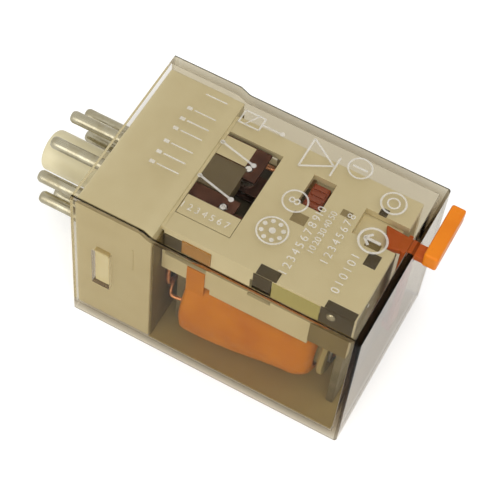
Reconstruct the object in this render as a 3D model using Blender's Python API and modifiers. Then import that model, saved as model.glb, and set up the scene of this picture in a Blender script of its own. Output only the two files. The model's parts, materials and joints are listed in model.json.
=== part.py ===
# Plug-in relay with a clear cover, a round eight-pin plug and a test lever.
# It lies on one cover face: +X runs from the pins to the lever, +Z is up, the coil side is -Y.
import math

import bmesh
import bpy
from mathutils import Matrix, Vector

MM = 0.001

# Cover: a clear box, open at the pin end, with a raised band over the base.
COVER_LENGTH = 55.0 * MM
COVER_WIDTH = 36.0 * MM
COVER_HEIGHT = 36.0 * MM
COVER_WALL = 1.3 * MM
COVER_END_WALL = 1.4 * MM
COVER_EDGE = 0.6 * MM
BAND_LENGTH = 15.5 * MM
BAND_RISE = 1.2 * MM
BAND_STEP_WALL = 0.9 * MM

# Clearances between pieces.
FIT = 0.3 * MM
SNUG = 0.2 * MM

# Base: the moulded header with its plug.
BASE_INSET = 0.8 * MM
BOSS_DIAMETER = 28.0 * MM
BOSS_RISE = 0.7 * MM
SPIGOT_DIAMETER = 8.0 * MM
SPIGOT_LENGTH = 15.0 * MM
SPIGOT_TIP = 1.0 * MM
KEY_WIDTH = 2.0 * MM
KEY_HEIGHT = 1.2 * MM
KEY_SETBACK = 2.0 * MM
LATCH_START = 4.3 * MM
LATCH_LENGTH = 3.0 * MM
LATCH_HEIGHT = 10.2 * MM
LATCH_GRIP = 1.0 * MM
PAD_LINE = -2.0 * MM
PAD_WIDTH = 7.0 * MM
PAD_HEIGHT = 4.5 * MM
PAD_LOW = 3.0 * MM
PAD_HIGH = 18.2 * MM

# Pins on the plug's circle, counted clockwise from the key as seen from the pins.
PIN_COUNT = 8
PIN_CIRCLE = 17.45 * MM
PIN_DIAMETER = 2.36 * MM
PIN_LENGTH = 12.3 * MM
PIN_TIP = 0.7 * MM

# Coil and its iron, on a line that lies off the middle towards the coil side.
COIL_SIDE_GAP = 0.5 * MM
COIL_FLOOR_GAP = 0.4 * MM
TAPE_THICKNESS = 0.4 * MM
FLANGE_PROUD = 0.4 * MM
FLANGE_THICKNESS = 1.2 * MM
BOBBIN_WALL = 0.9 * MM
CORE_RADIUS = 4.5 * MM
CORE_STAND = 0.5 * MM
CORE_NECK_RADIUS = 3.0 * MM
CORE_NECK_LENGTH = 0.9 * MM
RING_OUTER = 3.4 * MM
RING_INNER = 2.2 * MM
RING_DEPTH = 1.0 * MM
YOKE_THICKNESS = 2.0 * MM
LIMB_THICKNESS = 1.8 * MM
LIMB_DROP = 7.1 * MM
YOKE_REACH = 6.5 * MM
YOKE_SIDE_GAP = 0.6 * MM
YOKE_FOOT = 4.0 * MM
YOKE_STANDOFF = 3.0 * MM

# Armature: an angle plate that rocks on the end of the yoke.
ARMATURE_THICKNESS = 1.4 * MM
ARMATURE_ARM_THICKNESS = 1.2 * MM
ARMATURE_FOOT = 2.0 * MM
ARMATURE_SIDE_GAP = 0.5 * MM
ARMATURE_PAST_LEVER = 1.7 * MM
ARM_LENGTH = 17.0 * MM
ARM_WIDTH = 18.0 * MM
POLE_GAP = 1.3 * MM
LUG_INSET = 3.8 * MM
LUG_WIDTH = 2.4 * MM
LUG_HEIGHT = 4.6 * MM
LUG_THICKNESS = 1.0 * MM
LUG_HOLE = 1.5 * MM

# Return spring between the armature's lug and a tab of the frame.
SPRING_WIRE = 0.45 * MM
SPRING_RADIUS = 1.1 * MM
SPRING_PITCH = 0.92 * MM
SPRING_POINTS_PER_TURN = 10
SPRING_LEAD = 1.6 * MM
SPRING_HOOK = 1.1 * MM
SPRING_DROP = 1.9 * MM

# Contact set: two poles, each with a moving blade between two fixed strips.
POLE_LINE = 4.6 * MM
CONTACT_STATION = 22.3 * MM
BLADE_DROP = 3.2 * MM
BLADE_THICKNESS = 0.4 * MM
BLADE_WIDTH = 4.4 * MM
BLADE_NOSE = 2.3 * MM
BLADE_GRIP = 5.2 * MM
BLADE_TAB_LENGTH = 1.8 * MM
CARRIER_START = 30.0 * MM
CARRIER_LENGTH = 7.0 * MM
CARRIER_WIDTH = 17.0 * MM
CARRIER_DROP = 1.9 * MM
BUTTON_RADIUS = 1.5 * MM
BUTTON_HEAD = 0.4 * MM
BUTTON_SHANK = 0.6 * MM
STRIP_THICKNESS = 0.5 * MM
STRIP_WIDTH = 4.4 * MM
FOOT_THICKNESS = 0.6 * MM
MAKE_GAP = 2.3 * MM
FLAG_STATION = 35.0 * MM
FLAG_LINE = 6.0 * MM
FLAG_LENGTH = 3.2 * MM
FLAG_WIDTH = 5.4 * MM
FLAG_HEIGHT = 0.9 * MM

# Contact frame: a cream channel under the print face.
FRAME_SIDE_GAP = 3.2 * MM
FRAME_WALL = 1.2 * MM
FRAME_PLATE = 1.5 * MM
FRAME_SKIRT = 10.4 * MM
FRAME_END_GAP = 1.6 * MM
WINDOW_MARGIN = 0.6 * MM
SIDE_WINDOW_LENGTHS = (8.0 * MM, 4.4 * MM, 6.0 * MM)
SIDE_WINDOW_INSET = 1.2 * MM
SIDE_WINDOW_DROP = 1.3 * MM
SIDE_WINDOW_HEIGHT = 4.6 * MM
LEDGE_THICKNESS = 0.9 * MM

# Test lever: a flat orange plate that slides through the end wall.
PRESS_TRAVEL = 1.2 * MM
LEVER_GAP = 1.5 * MM
LEVER_LINE = 4.8 * MM
LEVER_NECK = 2.8 * MM
LEVER_THICKNESS = 1.4 * MM
LEVER_FAN = 5.2 * MM
LEVER_FAN_LENGTH = 6.5 * MM
LEVER_BAR_DEPTH = 2.7 * MM
LEVER_BAR_NEAR = 2.8 * MM
LEVER_BAR_FAR = 14.8 * MM
LEVER_BAR_HEIGHT = 3.5 * MM
LEVER_BAR_RISE = 2.5 * MM
LEVER_EDGE = 0.3 * MM
FLAG_EDGE = 0.15 * MM
FINGER_THICKNESS = 0.8 * MM
FINGER_WIDTH = 4.0 * MM
FINGER_ARM = 16.5 * MM
FINGER_NUB = 1.8 * MM
FINGER_DROP = 1.0 * MM
FINGER_PLAY = 0.1 * MM

# Wires inside.
PIGTAIL_DIAMETER = 1.0 * MM
LEAD_DIAMETER = 0.7 * MM
LEAD_OUTSET = 1.4 * MM
LEAD_DROP = 1.2 * MM
PIGTAIL_BOW = 1.3 * MM
PIGTAIL_RISE = 3.0 * MM

ROUND_STEPS = 40
PIN_STEPS = 16

# Places that follow from the sizes above, along X from the cover's open rim.
seat_face = -BOSS_RISE
plug_tip = seat_face - SPIGOT_LENGTH
base_floor = BAND_LENGTH - FIT
end_inner = COVER_LENGTH - COVER_END_WALL
lever_out = COVER_LENGTH + LEVER_GAP + LEVER_BAR_DEPTH
centre_shift = -(plug_tip + lever_out) / 2
frame_end = end_inner - FRAME_END_GAP
finger_back = end_inner - FIT
finger_pressed = finger_back - FINGER_THICKNESS - PRESS_TRAVEL
armature_back = finger_pressed - FINGER_PLAY
armature_face = armature_back - ARMATURE_THICKNESS
pole_face = armature_face - POLE_GAP
bobbin_end = pole_face - CORE_STAND
yoke_back = base_floor + YOKE_STANDOFF
bobbin_start = yoke_back + YOKE_THICKNESS + FIT
limb_end = armature_face - FIT

# Levels along Z, from the cover's roof down and from its floor up.
plug_level = (COVER_HEIGHT + BAND_RISE) / 2
roof = COVER_HEIGHT - COVER_WALL
plate_top = roof - FIT
plate_bottom = plate_top - FRAME_PLATE
frame_skirt = plate_bottom - FRAME_SKIRT
lever_top = plate_top - FINGER_PLAY
lever_bottom = lever_top - LEVER_THICKNESS
spring_level = plate_bottom - SPRING_DROP
carrier_top = plate_bottom - CARRIER_DROP
blade_level = plate_bottom - BLADE_DROP
blade_top = blade_level + BLADE_THICKNESS
nc_button_top = blade_level - SNUG - BUTTON_HEAD - FIT
nc_strip_top = nc_button_top - BUTTON_HEAD - SNUG
no_button_bottom = blade_top + SNUG + BUTTON_HEAD + MAKE_GAP
no_strip_bottom = no_button_bottom + BUTTON_HEAD + SNUG
limb_top = plate_bottom - LIMB_DROP
limb_bottom = limb_top - LIMB_THICKNESS
arm_bottom = limb_top + FIT
arm_top = arm_bottom + ARMATURE_ARM_THICKNESS
flange_radius = (limb_bottom - FIT - COVER_WALL - COIL_FLOOR_GAP) / 2
tape_radius = flange_radius - FLANGE_PROUD
coil_level = COVER_WALL + COIL_FLOOR_GAP + flange_radius

# Lines along Y, from the cover's side walls.
coil_line = -COVER_WIDTH / 2 + COVER_WALL + COIL_SIDE_GAP + flange_radius
frame_half = COVER_WIDTH / 2 - COVER_WALL - FRAME_SIDE_GAP
frame_inside = frame_half - FRAME_WALL
yoke_near = -frame_inside + YOKE_SIDE_GAP
yoke_far = coil_line + YOKE_REACH
armature_near = -frame_inside + ARMATURE_SIDE_GAP
armature_far = LEVER_LINE + ARMATURE_PAST_LEVER
lug_line = armature_near + LUG_INSET

# The armature's hinge on the corner of the yoke.
hinge = Vector(((limb_end + armature_face) / 2, 0, (limb_top + arm_bottom) / 2))
close_angle = PRESS_TRAVEL / FINGER_ARM


def clear_scene():
    for obj in list(bpy.data.objects):
        bpy.data.objects.remove(obj, do_unlink=True)


def material(name, color, roughness, metallic=0.0, alpha=1.0):
    made = bpy.data.materials.new(name)
    made.use_nodes = True
    shader = made.node_tree.nodes["Principled BSDF"]
    shader.inputs["Base Color"].default_value = (*color, 1.0)
    shader.inputs["Roughness"].default_value = roughness
    shader.inputs["Metallic"].default_value = metallic
    shader.inputs["Alpha"].default_value = alpha
    made.diffuse_color = (*color, alpha)
    return made


def empty(name, place, parent=None):
    made = bpy.data.objects.new(name, None)
    made.empty_display_size = 5 * MM
    made.location = place
    made.parent = parent
    parts.objects.link(made)
    return made


def place(obj, finish, pivot):
    # A piece under a pivot empty is drawn in relay coordinates, then moved to the pivot's own.
    obj.data.transform(Matrix.Translation(-pivot["offset"]))
    obj.parent = pivot["empty"]
    obj.data.materials.append(finish)
    parts.objects.link(obj)
    return obj


def box_mesh(name, low, high):
    low, high = Vector(low), Vector(high)
    form = bmesh.new()
    bmesh.ops.create_cube(form, size=1.0)
    bmesh.ops.scale(form, vec=high - low, verts=form.verts)
    bmesh.ops.translate(form, vec=(low + high) / 2, verts=form.verts)
    mesh = bpy.data.meshes.new(name)
    form.to_mesh(mesh)
    form.free()
    return mesh


def box(name, low, high, finish, pivot, edge=0.0):
    obj = place(bpy.data.objects.new(name, box_mesh(name, low, high)), finish, pivot)
    if edge:
        round_edges(obj, edge)
    return obj


def round_edges(obj, width, segments=2):
    bevel = obj.modifiers.new("rounded_edges", "BEVEL")
    bevel.width = width
    bevel.segments = segments
    bevel.limit_method = "ANGLE"
    bevel.angle_limit = math.radians(40)


def turned(name, profile, line, level, finish, pivot, steps=ROUND_STEPS):
    # The profile holds (x, radius) points from the high-X end down the outer side.
    form = bmesh.new()
    points = [form.verts.new((x, radius, 0.0)) for x, radius in profile]
    for first, second in zip(points, points[1:]):
        form.edges.new((first, second))
    if profile[0][1] > 0:
        form.edges.new((points[-1], points[0]))
    mesh = bpy.data.meshes.new(name)
    form.to_mesh(mesh)
    form.free()
    obj = bpy.data.objects.new(name, mesh)
    screw = obj.modifiers.new("turned", "SCREW")
    screw.axis = "X"
    screw.steps = steps
    screw.render_steps = steps
    screw.use_merge_vertices = True
    screw.merge_threshold = 0.00001
    obj.parent = pivot["empty"]
    obj.location = Vector((0.0, line, level)) - pivot["offset"]
    obj.data.materials.append(finish)
    parts.objects.link(obj)
    return obj


def helper(obj, pivot):
    obj.parent = pivot["empty"]
    obj.hide_render = True
    obj.display_type = "WIRE"
    cutters.objects.link(obj)
    return obj


def box_helper(name, low, high, pivot):
    mesh = box_mesh(name, low, high)
    mesh.transform(Matrix.Translation(-pivot["offset"]))
    return helper(bpy.data.objects.new(name, mesh), pivot)


def rod_helper(name, start, end, radius, pivot, steps=ROUND_STEPS):
    start, end = Vector(start), Vector(end)
    form = bmesh.new()
    bmesh.ops.create_cone(
        form, cap_ends=True, segments=steps, radius1=radius, radius2=radius, depth=(end - start).length
    )
    turn = Vector((0, 0, 1)).rotation_difference(end - start).to_matrix().to_4x4()
    shift = Matrix.Translation((start + end) / 2 - pivot["offset"])
    bmesh.ops.transform(form, matrix=shift @ turn, verts=form.verts)
    mesh = bpy.data.meshes.new(name)
    form.to_mesh(mesh)
    form.free()
    return helper(bpy.data.objects.new(name, mesh), pivot)


def boolean(obj, other, operation):
    made = obj.modifiers.new(operation.lower() + "_" + other.name, "BOOLEAN")
    made.operation = operation
    made.solver = "EXACT"
    made.object = other


def cut(obj, *others):
    for other in others:
        boolean(obj, other, "DIFFERENCE")


def join(obj, *others):
    for other in others:
        boolean(obj, other, "UNION")


def stepped_box(name, low, high, step_at, rise):
    # A box whose roof is raised from its low-X end as far as step_at.
    mesh = box_mesh(name, low, high)
    form = bmesh.new()
    form.from_mesh(mesh)
    everything = form.verts[:] + form.edges[:] + form.faces[:]
    bmesh.ops.bisect_plane(form, geom=everything, plane_co=(step_at, 0, 0), plane_no=(1, 0, 0))
    raised = [
        face
        for face in form.faces
        if face.normal.z > 0.9 and face.calc_center_median().x < step_at
    ]
    lifted = bmesh.ops.extrude_face_region(form, geom=raised)["geom"]
    bmesh.ops.delete(form, geom=raised, context="FACES")
    corners = [item for item in lifted if isinstance(item, bmesh.types.BMVert)]
    bmesh.ops.translate(form, vec=(0, 0, rise), verts=corners)
    bmesh.ops.remove_doubles(form, verts=form.verts, dist=1e-7)
    flat_edges = [
        edge
        for edge in form.edges
        if len(edge.link_faces) == 2 and edge.calc_face_angle(0.0) < 1e-4
    ]
    bmesh.ops.dissolve_edges(form, edges=flat_edges, use_verts=True)
    bmesh.ops.recalc_face_normals(form, faces=form.faces)
    form.to_mesh(mesh)
    form.free()
    return bpy.data.objects.new(name, mesh)


def wire(name, points, diameter, finish, pivot, resolution=1):
    curve = bpy.data.curves.new(name, "CURVE")
    curve.dimensions = "3D"
    curve.bevel_depth = diameter / 2
    curve.bevel_resolution = resolution
    curve.use_fill_caps = True
    spline = curve.splines.new("POLY")
    spline.points.add(len(points) - 1)
    for knot, point in zip(spline.points, points):
        knot.co = (*(Vector(point) - pivot["offset"]), 1.0)
    obj = bpy.data.objects.new(name, curve)
    obj.parent = pivot["empty"]
    obj.data.materials.append(finish)
    parts.objects.link(obj)
    return obj


def smooth_route(stops, points_per_stop=3):
    # Reads points from a smooth curve through the stops.
    stops = [Vector(stop) for stop in stops]
    ends = [stops[0] * 2 - stops[1], *stops, stops[-1] * 2 - stops[-2]]
    route = []
    for first, second, third, fourth in zip(ends, ends[1:], ends[2:], ends[3:]):
        for step in range(points_per_stop):
            t = step / points_per_stop
            even = 2 * second + (third - first) * t
            square = (2 * first - 5 * second + 4 * third - fourth) * t * t
            cube = (3 * second - first - 3 * third + fourth) * t * t * t
            route.append((even + square + cube) / 2)
    return [*route, stops[-1]]


def pin_place(number):
    angle = math.radians(-90 + 360 / PIN_COUNT * (number - 0.5))
    return Vector((0, PIN_CIRCLE / 2 * math.cos(angle), plug_level + PIN_CIRCLE / 2 * math.sin(angle)))


def make_foot_edge():
    return abs(pin_place(3).y) + PIN_DIAMETER / 2


def pigtail_line():
    return (make_foot_edge() + frame_inside) / 2


def blade_tab_edge():
    return pigtail_line() - PIGTAIL_BOW - PIGTAIL_DIAMETER / 2 - FIT


def latch_box(side, grip, margin):
    wall_face = COVER_WIDTH / 2 - COVER_WALL - FIT
    low = (LATCH_START - margin, wall_face - COVER_WALL, plug_level - LATCH_HEIGHT / 2 - margin)
    high = (LATCH_START + LATCH_LENGTH + margin, wall_face + grip, plug_level + LATCH_HEIGHT / 2 + margin)
    if side < 0:
        low, high = (low[0], -high[1], low[2]), (high[0], -low[1], high[2])
    return low, high


def make_cover():
    half = COVER_WIDTH / 2
    shell = stepped_box(
        "cover", (0, -half, 0), (COVER_LENGTH, half, COVER_HEIGHT), BAND_LENGTH, BAND_RISE
    )
    place(shell, clear_plastic, still)
    round_edges(shell, COVER_EDGE)
    hollow = stepped_box(
        "cover_hollow",
        (-COVER_WALL, -half + COVER_WALL, COVER_WALL),
        (end_inner, half - COVER_WALL, roof),
        BAND_LENGTH - BAND_STEP_WALL,
        BAND_RISE,
    )
    slot = box_helper(
        "cover_lever_slot",
        (end_inner - COVER_WALL, LEVER_LINE - LEVER_NECK / 2 - FIT, lever_bottom - FIT),
        (COVER_LENGTH + COVER_WALL, LEVER_LINE + LEVER_NECK / 2 + FIT, lever_top + FIT),
        still,
    )
    cut(shell, helper(hollow, still), slot)
    for side, word in ((-1, "near"), (1, "far")):
        low, high = latch_box(side, 2 * COVER_WALL, FIT)
        cut(shell, box_helper(f"cover_latch_{word}", low, high, still))


def make_base():
    half = COVER_WIDTH / 2 - COVER_WALL - FIT
    bottom = COVER_WALL + FIT
    body = stepped_box(
        "base",
        (BASE_INSET, -half, bottom),
        (base_floor, half, roof - FIT),
        BAND_LENGTH - BAND_STEP_WALL - FIT,
        BAND_RISE,
    )
    place(body, cream_plastic, still)
    boss = rod_helper(
        "base_boss", (seat_face, 0, plug_level), (base_floor / 2, 0, plug_level), BOSS_DIAMETER / 2, still
    )
    spigot = rod_helper(
        "base_spigot",
        (plug_tip + SPIGOT_TIP, 0, plug_level),
        (base_floor / 2, 0, plug_level),
        SPIGOT_DIAMETER / 2,
        still,
    )
    bevel = spigot.modifiers.new("round_tip", "BEVEL")
    bevel.width = SPIGOT_TIP
    bevel.segments = 3
    bevel.limit_method = "ANGLE"
    bevel.angle_limit = math.radians(60)
    spigot_low = min(vertex.co.x for vertex in spigot.data.vertices)
    spigot.data.transform(Matrix.Translation((plug_tip - spigot_low, 0, 0)))
    key = box_helper(
        "base_key",
        (plug_tip + KEY_SETBACK, -KEY_WIDTH / 2, plug_level - SPIGOT_DIAMETER / 2 - KEY_HEIGHT),
        (base_floor / 2, KEY_WIDTH / 2, plug_level),
        still,
    )
    join(body, boss, spigot, key)
    for level, word in ((PAD_LOW, "low"), (PAD_HIGH, "high")):
        pad = box_helper(
            f"base_pad_{word}",
            (base_floor / 2, PAD_LINE - PAD_WIDTH / 2, level),
            (yoke_back - FIT, PAD_LINE + PAD_WIDTH / 2, level + PAD_HEIGHT),
            still,
        )
        join(body, pad)
    for side, word in ((-1, "near"), (1, "far")):
        low, high = latch_box(side, LATCH_GRIP, 0.0)
        join(body, box_helper(f"base_hook_{word}", low, high, still))
    for number in range(1, PIN_COUNT + 1):
        where = pin_place(number)
        hole = rod_helper(
            f"base_pin_hole_{number}",
            where + Vector((seat_face - FIT, 0, 0)),
            where + Vector((yoke_back, 0, 0)),
            PIN_DIAMETER / 2 + SNUG,
            still,
            PIN_STEPS,
        )
        cut(body, hole)


def make_pins():
    radius = PIN_DIAMETER / 2
    tip = seat_face - PIN_LENGTH
    profile = [
        (base_floor, 0.0),
        (base_floor, radius),
        (tip + PIN_TIP, radius),
        (tip + PIN_TIP * 0.3, radius * 0.8),
        (tip, radius * 0.4),
        (tip, 0.0),
    ]
    for number in range(1, PIN_COUNT + 1):
        where = pin_place(number)
        turned(f"pin_{number}", profile, where.y, where.z, plated_brass, still, PIN_STEPS)


def make_coil():
    bore = CORE_RADIUS + SNUG
    hub = bore + BOBBIN_WALL
    flange_in = bobbin_start + FLANGE_THICKNESS
    flange_out = bobbin_end - FLANGE_THICKNESS
    bobbin = [
        (bobbin_end, bore),
        (bobbin_end, flange_radius),
        (flange_out, flange_radius),
        (flange_out, hub),
        (flange_in, hub),
        (flange_in, flange_radius),
        (bobbin_start, flange_radius),
        (bobbin_start, bore),
    ]
    turned("bobbin", bobbin, coil_line, coil_level, cream_plastic, still)
    inside = tape_radius - TAPE_THICKNESS
    low, high = flange_in + SNUG, flange_out - SNUG
    winding = [(high, hub + SNUG), (high, inside - SNUG), (low, inside - SNUG), (low, hub + SNUG)]
    turned("coil_winding", winding, coil_line, coil_level, copper, still)
    tape = [(high, inside), (high, tape_radius), (low, tape_radius), (low, inside)]
    turned("coil_tape", tape, coil_line, coil_level, orange_tape, still)


def make_iron():
    neck_end = yoke_back - CORE_NECK_LENGTH
    groove = RING_DEPTH + SNUG
    core = [
        (pole_face, 0.0),
        (pole_face, RING_INNER - SNUG),
        (pole_face - groove, RING_INNER - SNUG),
        (pole_face - groove, RING_OUTER + SNUG),
        (pole_face, RING_OUTER + SNUG),
        (pole_face, CORE_RADIUS),
        (bobbin_start, CORE_RADIUS),
        (bobbin_start, CORE_NECK_RADIUS),
        (neck_end, CORE_NECK_RADIUS),
        (neck_end, 0.0),
    ]
    turned("core", core, coil_line, coil_level, steel, still)
    ring = [
        (pole_face, RING_INNER),
        (pole_face, RING_OUTER),
        (pole_face - RING_DEPTH, RING_OUTER),
        (pole_face - RING_DEPTH, RING_INNER),
    ]
    turned("shading_ring", ring, coil_line, coil_level, copper, still)
    yoke = box("yoke", (yoke_back, yoke_near, limb_bottom), (limb_end, yoke_far, limb_top), steel, still)
    back = box_helper(
        "yoke_back",
        (yoke_back, yoke_near, YOKE_FOOT),
        (yoke_back + YOKE_THICKNESS, yoke_far, limb_top),
        still,
    )
    join(yoke, back)
    core_hole = rod_helper(
        "yoke_core_hole",
        (neck_end, coil_line, coil_level),
        (bobbin_start, coil_line, coil_level),
        CORE_NECK_RADIUS + SNUG,
        still,
    )
    cut(yoke, core_hole)


def make_armature():
    plate = box(
        "armature",
        (armature_face, armature_near, ARMATURE_FOOT),
        (armature_back, armature_far, arm_top),
        steel,
        rocking,
    )
    arm = box_helper(
        "armature_arm",
        (armature_back - ARM_LENGTH, -ARM_WIDTH / 2, arm_bottom),
        (armature_back - ARMATURE_THICKNESS / 2, ARM_WIDTH / 2, arm_top),
        rocking,
    )
    lug = box_helper(
        "armature_lug",
        (armature_back - LUG_THICKNESS, lug_line - LUG_WIDTH / 2, arm_bottom),
        (armature_back, lug_line + LUG_WIDTH / 2, arm_top + LUG_HEIGHT),
        rocking,
    )
    hole = rod_helper(
        "armature_lug_hole",
        (armature_face, lug_line, spring_level),
        (armature_back + LUG_THICKNESS, lug_line, spring_level),
        LUG_HOLE / 2,
        rocking,
        PIN_STEPS,
    )
    join(plate, arm, lug)
    cut(plate, hole)


def make_carrier():
    grip_end = CARRIER_START + BLADE_GRIP
    carrier = box(
        "contact_carrier",
        (CARRIER_START, -CARRIER_WIDTH / 2, arm_top + FIT),
        (CARRIER_START + CARRIER_LENGTH, CARRIER_WIDTH / 2, carrier_top),
        olive_plastic,
        rocking,
    )
    box(
        "indicator_flag",
        (FLAG_STATION - FLAG_LENGTH / 2, FLAG_LINE - FLAG_WIDTH / 2, carrier_top + SNUG),
        (FLAG_STATION + FLAG_LENGTH / 2, FLAG_LINE + FLAG_WIDTH / 2, carrier_top + SNUG + FLAG_HEIGHT),
        rust_plastic,
        rocking,
        FLAG_EDGE,
    )
    for side, letter in ((1, "a"), (-1, "b")):
        line = side * POLE_LINE
        slot = box_helper(
            f"carrier_slot_{letter}",
            (CARRIER_START - FIT, line - BLADE_WIDTH / 2 - SNUG, blade_level - SNUG),
            (grip_end + SNUG, line + BLADE_WIDTH / 2 + SNUG, blade_top + SNUG),
            rocking,
        )
        cut(carrier, slot)
        make_moving_blade(side, letter, grip_end)


def make_moving_blade(side, letter, grip_end):
    line = side * POLE_LINE
    blade = box(
        f"moving_blade_{letter}",
        (CONTACT_STATION - BLADE_NOSE, line - BLADE_WIDTH / 2, blade_level),
        (grip_end, line + BLADE_WIDTH / 2, blade_top),
        spring_bronze,
        rocking,
    )
    tab_end = CARRIER_START - 2 * FIT
    edges = sorted((line, side * blade_tab_edge()))
    tab = box_helper(
        f"blade_tab_{letter}",
        (tab_end - BLADE_TAB_LENGTH, edges[0], blade_level),
        (tab_end, edges[1], blade_top),
        rocking,
    )
    hole = rod_helper(
        f"blade_hole_{letter}",
        (CONTACT_STATION, line, blade_level - FIT),
        (CONTACT_STATION, line, blade_top + FIT),
        BUTTON_SHANK + SNUG,
        rocking,
        PIN_STEPS,
    )
    join(blade, tab)
    cut(blade, hole)
    low = blade_level - SNUG - BUTTON_HEAD
    high = blade_top + SNUG + BUTTON_HEAD
    heads = ((low, low + BUTTON_HEAD), (high - BUTTON_HEAD, high))
    button(f"moving_contact_{letter}", line, (low, high), heads, rocking)


def button(name, line, shank_span, heads, pivot):
    # A contact rivet that stands along Z: a shank with its heads.
    low, high = shank_span
    shank = rod_helper(
        name + "_shank",
        (CONTACT_STATION, line, low),
        (CONTACT_STATION, line, high),
        BUTTON_SHANK,
        pivot,
        PIN_STEPS,
    )
    mesh = shank.data
    cutters.objects.unlink(shank)
    bpy.data.objects.remove(shank)
    obj = bpy.data.objects.new(name, mesh)
    obj.parent = pivot["empty"]
    obj.data.materials.append(silver)
    parts.objects.link(obj)
    for index, (bottom, top) in enumerate(heads):
        head = rod_helper(
            f"{name}_head_{index}",
            (CONTACT_STATION, line, bottom),
            (CONTACT_STATION, line, top),
            BUTTON_RADIUS,
            pivot,
            PIN_STEPS,
        )
        join(obj, head)


def make_fixed_strips():
    foot_near = base_floor + FIT
    foot_far = foot_near + FOOT_THICKNESS
    strip_end = CONTACT_STATION + BLADE_NOSE
    inner = POLE_LINE - STRIP_WIDTH / 2
    for side, letter, break_pin, make_pin in ((1, "a", 4, 3), (-1, "b", 5, 6)):
        line = side * POLE_LINE
        for word, pin, bottom, outer in (
            ("nc", break_pin, nc_strip_top - STRIP_THICKNESS, POLE_LINE + STRIP_WIDTH / 2),
            ("no", make_pin, no_strip_bottom, make_foot_edge()),
        ):
            top = bottom + STRIP_THICKNESS
            edges = sorted((side * inner, side * outer))
            strip = box(
                f"{word}_strip_{letter}",
                (foot_near, edges[0], bottom),
                (strip_end, edges[1], top),
                spring_bronze,
                still,
            )
            where = pin_place(pin)
            foot = box_helper(
                f"{word}_foot_{letter}",
                (foot_near, where.y - PIN_DIAMETER / 2, where.z - PIN_DIAMETER / 2),
                (foot_far, where.y + PIN_DIAMETER / 2, top),
                still,
            )
            hole = rod_helper(
                f"{word}_hole_{letter}",
                (CONTACT_STATION, line, bottom - FIT),
                (CONTACT_STATION, line, top + FIT),
                BUTTON_SHANK + SNUG,
                still,
                PIN_STEPS,
            )
            join(strip, foot)
            cut(strip, hole)
        button(
            f"nc_contact_{letter}",
            line,
            (nc_strip_top - STRIP_THICKNESS, nc_button_top),
            ((nc_button_top - BUTTON_HEAD, nc_button_top),),
            still,
        )
        button(
            f"no_contact_{letter}",
            line,
            (no_button_bottom, no_strip_bottom + STRIP_THICKNESS),
            ((no_button_bottom, no_button_bottom + BUTTON_HEAD),),
            still,
        )


def make_frame():
    half = frame_half
    start = base_floor + 2 * FIT
    frame = box(
        "contact_frame", (start, -half, frame_skirt), (frame_end, half, plate_top), cream_plastic, still
    )
    channel = box_helper(
        "frame_channel",
        (start - FIT, -frame_inside, frame_skirt - FIT),
        (frame_end + FIT, frame_inside, plate_bottom),
        still,
    )
    reach = make_foot_edge() + WINDOW_MARGIN
    contact_window = box_helper(
        "frame_contact_window",
        (start - FIT, -reach, plate_bottom - FIT),
        (CONTACT_STATION + BLADE_NOSE + 3 * WINDOW_MARGIN, reach, plate_top + FIT),
        still,
    )
    flag_window = box_helper(
        "frame_flag_window",
        (FLAG_STATION - FLAG_LENGTH / 2 - WINDOW_MARGIN, FLAG_LINE - FLAG_WIDTH / 2 - WINDOW_MARGIN,
         plate_bottom - FIT),
        (FLAG_STATION + FLAG_LENGTH / 2 + WINDOW_MARGIN, FLAG_LINE + FLAG_WIDTH / 2 + WINDOW_MARGIN,
         plate_top + FIT),
        still,
    )
    fan_start = frame_end - LEVER_FAN_LENGTH - PRESS_TRAVEL - FIT
    lever_slot = box_helper(
        "frame_lever_slot",
        (fan_start - FIT, LEVER_LINE - LEVER_FAN / 2 - FIT, plate_bottom - FIT),
        (frame_end + FIT, LEVER_LINE + LEVER_FAN / 2 + FIT, plate_top + FIT),
        still,
    )
    cut(frame, channel, contact_window, flag_window, lever_slot)
    side_windows(frame, half)
    ledge_top = lever_bottom - FIT
    ledge = box_helper(
        "frame_ledge",
        (fan_start - FRAME_WALL, LEVER_LINE - LEVER_FAN / 2 - FRAME_WALL, ledge_top - LEDGE_THICKNESS),
        (finger_pressed - FIT, LEVER_LINE + LEVER_FAN / 2 + FRAME_WALL, ledge_top),
        still,
    )
    rails = box_helper(
        "frame_ledge_rail",
        (fan_start - FRAME_WALL, LEVER_LINE - LEVER_FAN / 2 - FRAME_WALL, ledge_top - LEDGE_THICKNESS),
        (fan_start - FIT, LEVER_LINE + LEVER_FAN / 2 + FRAME_WALL, plate_top - FIT),
        still,
    )
    tab = box_helper(
        "frame_spring_tab",
        (spring_tab_face() - FRAME_WALL, lug_line - LUG_WIDTH / 2, spring_level - LUG_WIDTH / 2),
        (spring_tab_face(), lug_line + LUG_WIDTH / 2, plate_top - FIT),
        still,
    )
    tab_hole = rod_helper(
        "frame_spring_hole",
        (spring_tab_face() - 2 * FRAME_WALL, lug_line, spring_level),
        (spring_tab_face() + FRAME_WALL, lug_line, spring_level),
        LUG_HOLE / 2,
        still,
        PIN_STEPS,
    )
    join(frame, rails, ledge, tab)
    cut(frame, tab_hole)


def side_windows(frame, half):
    first, middle, last = SIDE_WINDOW_LENGTHS
    starts = (
        base_floor + SIDE_WINDOW_INSET,
        CARRIER_START + (CARRIER_LENGTH - middle) / 2 + SIDE_WINDOW_INSET,
        frame_end - SIDE_WINDOW_INSET - last,
    )
    top = plate_bottom - SIDE_WINDOW_DROP
    for index, (start, length) in enumerate(zip(starts, (first, middle, last))):
        for side, word in ((-1, "near"), (1, "far")):
            edges = sorted((side * (half + FIT), side * (half - FRAME_WALL - FIT)))
            window = box_helper(
                f"frame_{word}_window_{index}",
                (start, edges[0], top - SIDE_WINDOW_HEIGHT),
                (start + length, edges[1], top),
                still,
            )
            cut(frame, window)


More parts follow.
